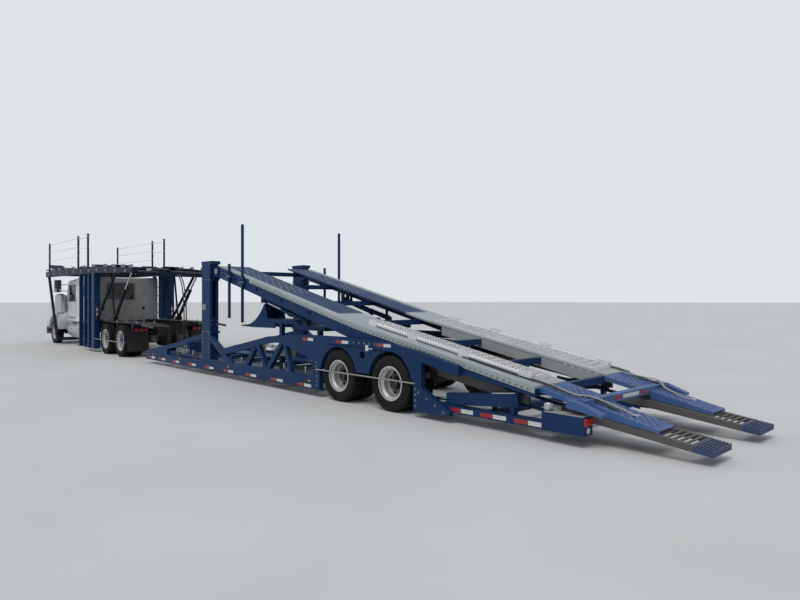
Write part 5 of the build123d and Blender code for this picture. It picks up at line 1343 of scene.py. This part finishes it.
for piece, name, finish in ((bowls, "headlamp_bowls", "chrome_parts"),
                            (hood_chrome, "headlamp_bezels", "chrome_parts"),
                            (lenses, "headlamp_lenses", "lamp_glass")):
    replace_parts(piece.make(name, "hood", finish), "headlamps")

# %% Ridge and grille
ridge, edging = benches(2)
RIDGE_SECTION = [(-0.012, -0.002), (0.012, -0.002), (0.008, 0.006), (-0.008, 0.006)]
for i in range(12):
    stretch = [18.72 + 1.70 * (k / 12) for k in (i, i + 1)]
    ridge.loft([[at(x, y, hood_top(x) + z) for y, z in RIDGE_SECTION] for x in stretch])
for z0, z1 in ((0.680, 0.722), (1.538, 1.560)):
    blocks(edging, [(20.445, 20.456, -0.47, 0.47, z0, z1)], 0.004)
for y in (-0.47, 0.43):
    blocks(edging, [(20.445, 20.456, y, y + 0.04, 0.68, 1.56)], 0.004)
# A dark mesh behind the grille
GRILLE_WIRES, WIRE = 26, 0.006
grille_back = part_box("grille")[0][0]
wires = [(y, y + WIRE, 0.73, 1.53) for y in (-0.40 + 0.032 * i for i in range(GRILLE_WIRES))]
wires += [(-0.425, 0.425, z, z + WIRE) for z in (0.735 + 0.031 * i for i in range(GRILLE_WIRES))]
for y0, y1, z0, z1 in wires:
    hood_dark.block((grille_back - 0.006, y0, z0), (grille_back - 0.003, y1, z1))
hood_dark.make("hood_dark_trim", "hood", "dark_plastic")
signals.make("turn_signals", "hood", "lamp_amber")
ridge.make("hood_ridge", "hood", "chrome_parts")
edging.make("grille_surround", "hood", "chrome_parts")

# %% [markdown]
# ## Bumper
# The bumper holds two fog lamps a side, each a turned bowl on a back plate with a domed lens before
# it, and a licence plate that is blank. They could be pressed into the bumper's mesh, but small
# pieces laid on it leave the frame's solid as it is.

# %% Bumper fittings
BUMPER_FACE = 20.6402
fogs, fog_lenses, plate = benches(3)
for side, sign in SIDES:
    for y in (0.58, 0.70):
        place = lying(at(20.600, sign * y, 0.47))
        fogs.turned([(0.043, 0.0), (0.043, 0.030), (0.036, 0.031), (0.030, 0.010), (0.006, 0.008)],
                    24, place)
        lens(fog_lenses, at(20.628, sign * y, 0.47), (1, 0, 0), (0.072, 0.072), 0.006, 24)
    blocks(fogs, [(20.5945, 20.5985, sign * 0.515, sign * 0.765, 0.42, 0.52)], 0.001)
    for z in (0.36, 0.58):
        bolt_rows(fogs, [((BUMPER_FACE, sign * 0.36, z), (BUMPER_FACE, sign * 0.41, z), 2,
                          (1, 0, 0))], 0.012, 0.006)
blocks(plate, [(BUMPER_FACE, 20.6425, -0.155, 0.155, 0.475, 0.575)], 0.001)
fogs.make("fog_lamps", "tractor", "chrome_parts")
fog_lenses.make("fog_lenses", "tractor", "lamp_glass")
plate.make("blank_plate", "tractor", "skid_white")


# %% [markdown]
# ## Gear on the rack
# The rack over the cab carries its own machinery. Ribbed plates hinge up from the runways to hold a
# car's wheel, long cylinders lie between the runways, ratchet winches stand on the beams, and a
# pair of struts braces each side behind the sleeper. Guard ropes run taut between the poles. Such
# gear repeats, so one helper makes a plate and one a cylinder, each from a few measures.

# %% Wheel plates and cylinders
RACK_TOP = [(20.05, 2.75), (13.9, 2.72), (10.65, 2.56)]
RACK_FLOOR = [(20.70, 2.88), (19.0, 2.70), (13.9, 2.67), (10.67, 2.48)]
LOWER_DECK = 1.0


def tilted_plate(bench, x, z, length, lean, ys, gauge=0.012, ribs=4):
    """A plate hinged at x, z: a sheet with side flanges and cross ribs below it."""
    place = leaning(at(x, 0, z), lean)
    y0, y1 = sorted(ys)
    bench.block((0, y0, 0), (length, y1, gauge), place, 0.002)
    for y in (y0, y1 - 0.010):
        bench.block((0, y, -0.045), (length, y + 0.010, 0), place, 0.002)
    for i in range(ribs):
        start = length * (i + 0.5) / ribs
        bench.block((start, y0, gauge), (start + 0.016, y1, gauge + 0.010), place, 0.002)


def cylinder(barrel, shaft, start, middle, end, radius):
    """A hydraulic cylinder: eye, barrel with its gland, then a bright rod with an eye."""
    start, middle, end = (Vector(at(*point)) for point in (start, middle, end))
    run = (middle - start).normalized()
    barrel.bar(start, middle, radius, 20)
    barrel.bar(middle - run * 0.05, middle + run * 0.02, radius * 1.18, 20)
    barrel.bar(start - run * 0.01, start + run * 0.04, radius * 1.12, 20)
    shaft.bar(middle, end, radius * 0.5, 16)
    half = Vector((0, radius * 0.9, 0))
    for place in (start - run * 0.035, end + run * 0.020):
        barrel.bar(place - half, place + half, radius * 0.8, 16)


# %% Wheel plates on the rack
# Hinge station, length and lean of each wheel plate
WHEEL_PLATES = [(19.78, 0.90, -0.24), (17.75, 0.62, -0.16), (16.30, 0.62, 0.13),
                (14.45, 0.62, -0.18), (13.05, 0.60, 0.12), (11.55, 0.62, -0.10)]
PLATE_LIFT = 0.055
plates = Bench()
for side, sign in SIDES:
    for x, length, lean in WHEEL_PLATES:
        lift = PLATE_LIFT if lean < 0 else PLATE_LIFT + length * sin(lean)
        tilted_plate(plates, x, on_line(RACK_FLOOR, x) + lift, length, lean,
                     (sign * 0.56, sign * 1.06))
plates.make("rack_wheel_plates", "tractor", "navy_paint")

# %% Cylinders and struts of the rack
struts, rack_rods = benches(2)
for side, sign in SIDES:
    # Between the runways, clamped to the cross tubes
    y = sign * 0.40
    for x0, x1, x2 in ((15.10, 16.65, 17.45), (12.30, 13.55, 14.30)):
        z0, z2 = (on_line(RACK_FLOOR, x) + 0.035 for x in (x0, x2))
        z1 = z0 + (z2 - z0) * (x1 - x0) / (x2 - x0)
        cylinder(struts, rack_rods, (x0, y, z0), (x1, y, z1), (x2, y, z2), 0.048)
        blocks(struts, [(x - 0.03, x + 0.03, y - 0.06, y + 0.06, z - 0.12, z)
                        for x, z in ((x0 + 0.1, z0), (x1 - 0.1, z1), (x2, z2))])
    # Behind the sleeper: both rise from one foot on the lower deck
    y = sign * 1.0
    cylinder(struts, rack_rods, (12.94, y, LOWER_DECK + 0.07), (12.05, y, 1.96), (11.47, y, 2.48),
             0.050)
    struts.bar(at(12.99, y, 1.08), at(13.31, y, 2.60), 0.030, 14)
    blocks(struts, [(12.84, 13.06, y - 0.075, y - 0.055, LOWER_DECK, LOWER_DECK + 0.12),
                    (12.84, 13.06, y + 0.055, y + 0.075, LOWER_DECK, LOWER_DECK + 0.12),
                    (11.38, 11.54, y - 0.06, y + 0.06, 2.45, 2.50)])
struts.make("rack_cylinders", "tractor", "black_steel")
rack_rods.make("rack_cylinder_rods", "tractor", "chrome_parts", 35)

# %% Winches and plates along the rack's beams
rack_winches = Bench()
for side, sign in SIDES:
    for x in (19.2, 18.4, 17.5, 16.6, 15.35, 14.3, 13.2, 12.4, 11.6, 10.95):
        winch(rack_winches, x, sign * 1.215, on_line(RACK_TOP, x) + 0.049)
    for x in (11.2 + 0.85 * i for i in range(11)):
        z = on_line(RACK_TOP, x) - 0.10
        blocks(rack_winches, [(x - 0.045, x + 0.045, sign * 1.2895, sign * 1.2955, z - 0.035,
                               z + 0.035)], 0.001)
rack_winches.make("rack_winches", "tractor", "wheel_steel_plain")

# %% Guard ropes and oil lines of the rack
# Two poles and the heights of the ropes between them
ROPES = [(19.64, 15.87, (3.78, 3.48, 3.16)), (15.87, 14.78, (3.74, 3.40))]
ropes, clips = benches(2)
for side, sign in SIDES:
    y = sign * 1.25
    for x0, x1, heights in ROPES:
        for z in heights:
            ropes.bar(at(x0, y, z), at(x1, y, z - 0.02), 0.0045, 6)
            for x in (x0, x1):
                lens(ropes, at(x, y, z - 0.012), (0, 0, 1), (0.074, 0.074), 0.024, 14)
    y = sign * (1.130 - 0.006)
    for below in (0.0, 0.026, 0.026 * 2):
        tube(clips, [at(x, y, on_line(RACK_TOP, x) - 0.060 - below)
                     for x in (19.7, 16.0, 13.9, 12.0, 10.9)], 0.009, 0.05)
ropes.make("guard_ropes", "tractor", "wheel_steel_plain")
clips.make("rack_oil_lines", "tractor", "hose_rubber")

# %% [markdown]
# ## Under and behind the cab
# Between the rails run the gearbox and two propeller shafts. Each drive axle has its brake chambers
# and air springs. Behind the wheels a bar carries the tail lamps, and the lower deck has treads,
# tie rings and two short flippers that reach back towards the trailer. Most of it is in shadow, so
# a few turned forms and plain blocks are enough.

# %% Short flippers
for side, sign in SIDES:
    flip = Bench()
    tilted_plate(flip, 9.72, LOWER_DECK - 0.070, 0.89, -0.06, (sign * 0.60, sign * 1.06), 0.014, 7)
    flip.turned([(0.024, -0.25), (0.024, 0.25)], 14,
                lying(at(10.625, sign * 0.83, LOWER_DECK - 0.012), "X"))
    flip.make(f"lower_flipper_{side}", "tractor", "ramp_steel")


# %% Driveline
def shaft(bench, start, end, radius):
    bench.bar(at(start[0], 0, start[1]), at(end[0], 0, end[1]), radius, 18)
    for x, z in (start, end):
        blocks(bench, [(x - 0.06, x + 0.06, -0.055, 0.055, z - 0.075, z + 0.075)], 0.015)


GEARBOX = [(0.10, 0.0), (0.13, 0.02), (0.13, 0.14), (0.165, 0.18), (0.175, 0.55), (0.225, 0.70),
           (0.235, 0.80)]
AIR_SPRING = [(0.10, 0.0), (0.118, 0.02), (0.122, 0.06), (0.108, 0.085), (0.122, 0.11),
              (0.118, 0.15), (0.09, 0.17)]
drive_line = Bench()
drive_line.turned(GEARBOX, 20, lying(at(17.96, 0, 0.66)))
shaft(drive_line, (17.90, 0.64), (15.75, 0.585), 0.048)
shaft(drive_line, (15.65, 0.58), (13.36, 0.50), 0.048)
shaft(drive_line, (12.86, 0.48), (12.04, 0.475), 0.042)
blocks(drive_line, [(15.62, 15.78, -0.19, 0.19, 0.60, 0.69)], 0.01)
for side, sign in SIDES:
    y = sign * 0.385
    for x in (11.785, 13.105):
        brake_chamber(drive_line, x + 0.24, sign * 0.50, 0.47)
        drive_line.turned(AIR_SPRING, 22, Matrix.Translation(at(x - 0.36, y, 0.455)))
        blocks(drive_line, [(x - 0.50, x + 0.45, y - 0.035, y + 0.035, 0.415, 0.460)], 0.01)
    blocks(drive_line, [(12.38, 12.52, y - 0.05, y + 0.05, 0.43, 0.64)], 0.01)
drive_line.make("driveline", "tractor", "cast_metal")

# %% Tail lamps of the tractor
tail, tail_red = benches(2)
for side, sign in SIDES:
    blocks(tail, [(11.135, 11.175, sign * 0.66, sign * 1.12, 0.728, 0.860)], 0.006)
    for y in (0.73, 0.86, 0.99):
        lens(tail_red, at(11.136, sign * y, 0.795), (-1, 0, 0), (0.10, 0.10), 0.020, 24)
tail.make("tail_lamp_boxes", "tractor", "black_steel")
tail_red.make("tractor_tail_lamps", "tractor", "lamp_red")

# %% Treads and tie rings of the lower deck, and the fuel caps
treads, rings, caps_steel = benches(3)
loop = circle(10) + circle(10)[:1]
for side, sign in SIDES:
    for x in (10.66 + 0.105 * i for i in range(38)):
        blocks(treads, [(x, x + 0.018, sign * 0.60, sign * 1.06, LOWER_DECK - 0.001,
                         LOWER_DECK + 0.008)])
    for x in (10.9, 11.7, 12.5, 13.5, 14.3):
        for y in (sign * 0.578, sign * 1.082):
            centre = Vector(at(x, y, LOWER_DECK + 0.020))
            ring = [centre + Vector((0.032 * c, 0, 0.020 + 0.028 * s)) for c, s in loop]
            tube(rings, ring, 0.0055, 0.012, 6)
            blocks(rings, [(x - 0.030, x + 0.030, y - 0.012, y + 0.012, LOWER_DECK,
                            LOWER_DECK + 0.010)])
    for x in (16.55, 17.65):
        caps_steel.turned([(0.062, 0.0), (0.062, 0.022), (0.050, 0.028), (0.050, 0.040),
                           (0.040, 0.044)], 24,
                          Matrix.Translation(at(x, sign * 0.765, 0.872)))
treads.make("lower_deck_treads", "tractor", "ramp_steel", 0)
rings.make("tie_rings", "tractor", "wheel_steel_plain")
caps_steel.make("fuel_caps", "tractor", "chrome_parts")

# %% Tape on the towers
tower_red, tower_white = benches(2)
for i in range(6):
    blocks(tower_red if i % 2 else tower_white,
           two_sided([(13.9985, 13.9970, 1.185, 1.235, 1.02 + 0.075 * i, 1.09 + 0.075 * i)]),
           0.0004)
tower_red.make("tower_tape_red", "tractor", "tape_red", 0)
tower_white.make("tower_tape_white", "tractor", "tape_white", 0)

# %% [markdown]
# ## Towers, pocket and ramp ends of the trailer
# Oil climbs each tower in pipes under clips. The wheel pocket is lined with a worn tread plate, a
# long cylinder hangs below each arm of the deck, a channel under the arm guides the ramps, and a
# work lamp stands on the lamp box. The lining is lofted through the pocket's arc: a bent sheet is
# easier to place as a curve of stations than to bend afterwards.

# %% Pipes and clips of the towers
tower_pipes, tower_clips = benches(2)
for side, sign in SIDES:
    for i in range(3):
        y, top = sign * (1.155 + 0.034 * i), 2.10 - 0.25 * i
        tube(tower_pipes, [at(7.10, sign * (1.00 + 0.02 * i), 0.36),
                           at(6.60, sign * (1.02 + 0.03 * i), 0.40), at(6.32, y, 0.50),
                           at(6.268, y, 0.72), at(6.268, y, top), at(6.262, y, 2.20 - 0.25 * i),
                           at(6.24, y, 2.24 - 0.25 * i)], 0.0125, 0.06)
    for z in (0.80, 1.12, 1.44, 1.76):
        blocks(tower_clips, [(6.249, 6.284, sign * 1.135, sign * 1.245, z, z + 0.028)], 0.003)
    # Bright catch on the tower's outer face, and two boxes behind the nose plate
    blocks(tower_clips, [(6.06, 6.20, sign * (HALF - 0.001), sign * (HALF + 0.012), 1.44, 1.56),
                         (6.10, 6.16, sign * (HALF + 0.010), sign * (HALF + 0.026), 1.47, 1.53),
                         (7.98, 8.14, sign * 0.99, sign * 1.12, 0.285, 0.40),
                         (6.50, 6.86, sign * 0.93, sign * 1.08, 0.285, 0.43)], 0.006)
tower_pipes.make("tower_pipes", "trailer", "hose_rubber")
tower_clips.make("tower_clips", "trailer", "wheel_steel_plain", 35)

# %% Lining of the wheel pocket
POCKET_X, POCKET_Z, POCKET_R = 4.90, 2.145, 1.0125
arc = [radians(-4.6 + 60 * i / 20) for i in range(21)]
lining = Bench()
for side, sign in SIDES:
    outer, inner = POCKET_R, POCKET_R - 0.0025
    lining.loft([[at(POCKET_X - r * sin(a), sign * y, POCKET_Z - r * cos(a))
                  for r, y in ((outer, 0.604), (outer, 0.996), (inner, 0.996), (inner, 0.604))]
                 for a in arc])
    # Raised ribs of the tread plate
    for a in arc[1::2]:
        x, z = POCKET_X - (POCKET_R - 0.005) * sin(a), POCKET_Z - (POCKET_R - 0.005) * cos(a)
        y0, y1 = sorted((sign * 0.62, sign * 0.98))
        lining.block((-0.010, y0, -0.004), (0.010, y1, 0.004), leaning(at(x, 0, z), a), 0.001)
lining.make("pocket_lining", "trailer", "ramp_steel", 30)

# %% Guide channels of the ramps
guides = Bench()
for side, sign in SIDES:
    for t in range(8):
        rings_of_bar = []
        for k in (t, t + 1):
            x, depth = -0.58 - 0.215 * k, 0.345 - 0.010 * k
            rings_of_bar.append([at(x, sign * y, deck_z(x) - below) for y, below in
                                 ((1.020, 0.175), (1.062, 0.175), (1.062, depth), (1.020, depth))])
        guides.loft(rings_of_bar)
guides.make("ramp_guides", "upper_deck", "ramp_steel", 0)

# %% Deck cylinders and the pale lines
# The pale lines' route over the flipper: x, distance outwards, height
PALE_LINES = [(-2.50, 0, 0.640), (-2.72, 0.06, 0.592), (-2.95, 0.10, 0.560), (-3.06, 0.02, 0.553),
              (-3.14, -0.10, 0.500), (-3.40, -0.16, 0.405), (-3.52, -0.12, 0.370)]
deck_barrels, deck_rods, pale_lines = benches(3)
for side, sign in SIDES:
    y = sign * 1.045
    cylinder(deck_barrels, deck_rods, (2.62, y, 1.305), (3.32, y, 1.473), (3.86, y, 1.603), 0.040)
    for x in (2.66, 3.84):
        z = deck_z(x) - 0.20
        blocks(deck_barrels, [(x - 0.03, x + 0.03, sign * 1.03, sign * 1.06, z - 0.16, z + 0.04)],
               0.004)
    for y in (sign * 0.93, sign * (0.93 - 0.03)):
        tube(pale_lines, [at(x, y + sign * out, z) for x, out, z in PALE_LINES], 0.0065, 0.09)
        blocks(deck_rods, [(-3.50, -3.56, y - sign * 0.12 - 0.014, y - sign * 0.12 + 0.014, 0.350,
                            0.385)], 0.004)
deck_barrels.make("deck_cylinders", "upper_deck", "blue_paint")
deck_rods.make("deck_cylinder_rods", "upper_deck", "chrome_parts", 35)

# %% [markdown]
# ## Runway flanges, guard sleeves and work lamps
# A pale flange stiffens the inner edge of each runway, galvanised sleeves slide over the guard
# rods in front of the wheels, and a work lamp stands on each lamp box. The flange follows the
# deck's bend as a loft through four stations, where a straight bar would cut through the sheet.

# %% Runway flanges and guard sleeves
RUNWAY_IN = 0.500
FLANGE, FLANGE_TOP, FLANGE_FOOT = 0.008, -0.005, -0.150
flanges = Bench()
for side, sign in SIDES:
    y0, y1 = sorted((sign * RUNWAY_IN, sign * (RUNWAY_IN - FLANGE)))
    section = [(y0, FLANGE_TOP), (y1, FLANGE_TOP), (y1, FLANGE_FOOT), (y0, FLANGE_FOOT)]
    flanges.loft([[at(x, y, deck_z(x) + z) for y, z in section]
                  for x in (0.60, -0.55, -1.50, -2.42)])
flanges.make("runway_flanges", "upper_deck", "deck_grey", 0)
SLEEVE_RADIUS = 0.0127
sleeves, tractor_sleeves = benches(2)
for side, sign in SIDES:
    y = sign * (HALF + 0.014)
    sleeves.bar(at(-0.56, y, 0.48), at(1.84, y, 0.48), SLEEVE_RADIUS, 14)
    tractor_sleeves.bar(at(11.26, sign * 1.278, 0.43), at(13.99, sign * 1.278, 0.43), SLEEVE_RADIUS,
                        14)
sleeves.make("guard_sleeves_trailer", "trailer", "wheel_steel_plain")
tractor_sleeves.make("guard_sleeves_tractor", "tractor", "wheel_steel_plain")
pale_lines.make("flipper_lines", "upper_deck", "deck_grey")

# %% Work lamps
work_lamps, glow = benches(2)
for side, sign in SIDES:
    blocks(work_lamps, [(-2.665, -2.605, sign * 1.115, sign * 1.185, 0.354, 0.372),
                        (-2.675, -2.600, sign * 1.105, sign * 1.195, 0.370, 0.455)], 0.008)
    lens(glow, at(-2.676, sign * 1.15, 0.413), (-1, 0, 0), (0.072, 0.066), 0.008, 20)
work_lamps.make("work_lamps", "trailer", "aluminium_parts")
glow.make("work_lamp_lenses", "trailer", "lamp_glass")


# %% [markdown]
# ## Floor and light
# A plain pale floor catches the shadow. The sky is soft and even, and one wide sun from the
# photographer's side of the vehicle gives the forms their shade.

# %% Floor
floor_mesh = bpy.data.meshes.new("floor")
REACH, BELOW = 400.0, 0.001
floor_mesh.from_pydata([(-REACH, -REACH, 0), (REACH, -REACH, 0), (REACH, REACH, 0),
                        (-REACH, REACH, 0)], [],
                       [(0, 1, 2, 3)])
floor = bpy.data.objects.new("floor", floor_mesh)
floor.location.z = -BELOW
bpy.context.collection.objects.link(floor)
ground = Finish("floor_grey")
tone = ground.step(ground.noise(0.4, 3.0), 0.3, 0.8)
floor_mesh.materials.append(ground.surface(
    Base_Color=ground.mix(tone, rgb(0.56, 0.56, 0.55), rgb(0.60, 0.60, 0.59)), Roughness=0.9))
floor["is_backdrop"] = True

# %% Sky
world = bpy.data.worlds.new("sky")
scene.world = world
world.use_nodes = True
tree = world.node_tree
tree.nodes.clear()
paths = tree.nodes.new("ShaderNodeLightPath")
seen = tree.nodes.new("ShaderNodeMath")
seen.operation = "MAXIMUM"
tree.links.new(paths.outputs["Is Camera Ray"], seen.inputs[0])
tree.links.new(paths.outputs["Is Transmission Ray"], seen.inputs[1])
blend = tree.nodes.new("ShaderNodeMixShader")
for place, colour, strength in ((1, rgb(0.90, 0.94, 1.0), 0.62), (2, rgb(0.80, 0.84, 0.88), 0.92)):
    light = tree.nodes.new("ShaderNodeBackground")
    light.inputs["Color"].default_value = colour
    light.inputs["Strength"].default_value = strength
    tree.links.new(light.outputs[0], blend.inputs[place])
tree.links.new(seen.outputs[0], blend.inputs[0])
tree.links.new(blend.outputs[0], tree.nodes.new("ShaderNodeOutputWorld").inputs[0])

# %% Sun
SUN_STRENGTH, SUN_WIDTH = 1.2, radians(30)
sun_data = bpy.data.lights.new("sun", "SUN")
sun_data.energy, sun_data.angle = SUN_STRENGTH, SUN_WIDTH
sun = bpy.data.objects.new("sun", sun_data)
sun.rotation_euler = Vector((-0.15, 0.55, 1.0)).to_track_quat("Z", "Y").to_euler()
bpy.context.collection.objects.link(sun)
print("sun strength:", SUN_STRENGTH)

# %% [markdown]
# ## Sizes
# The last step measures the whole scene again. The fittings must not stick out of the box that the
# frame's solids fill.

# %% Sizes and finish
low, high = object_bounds()
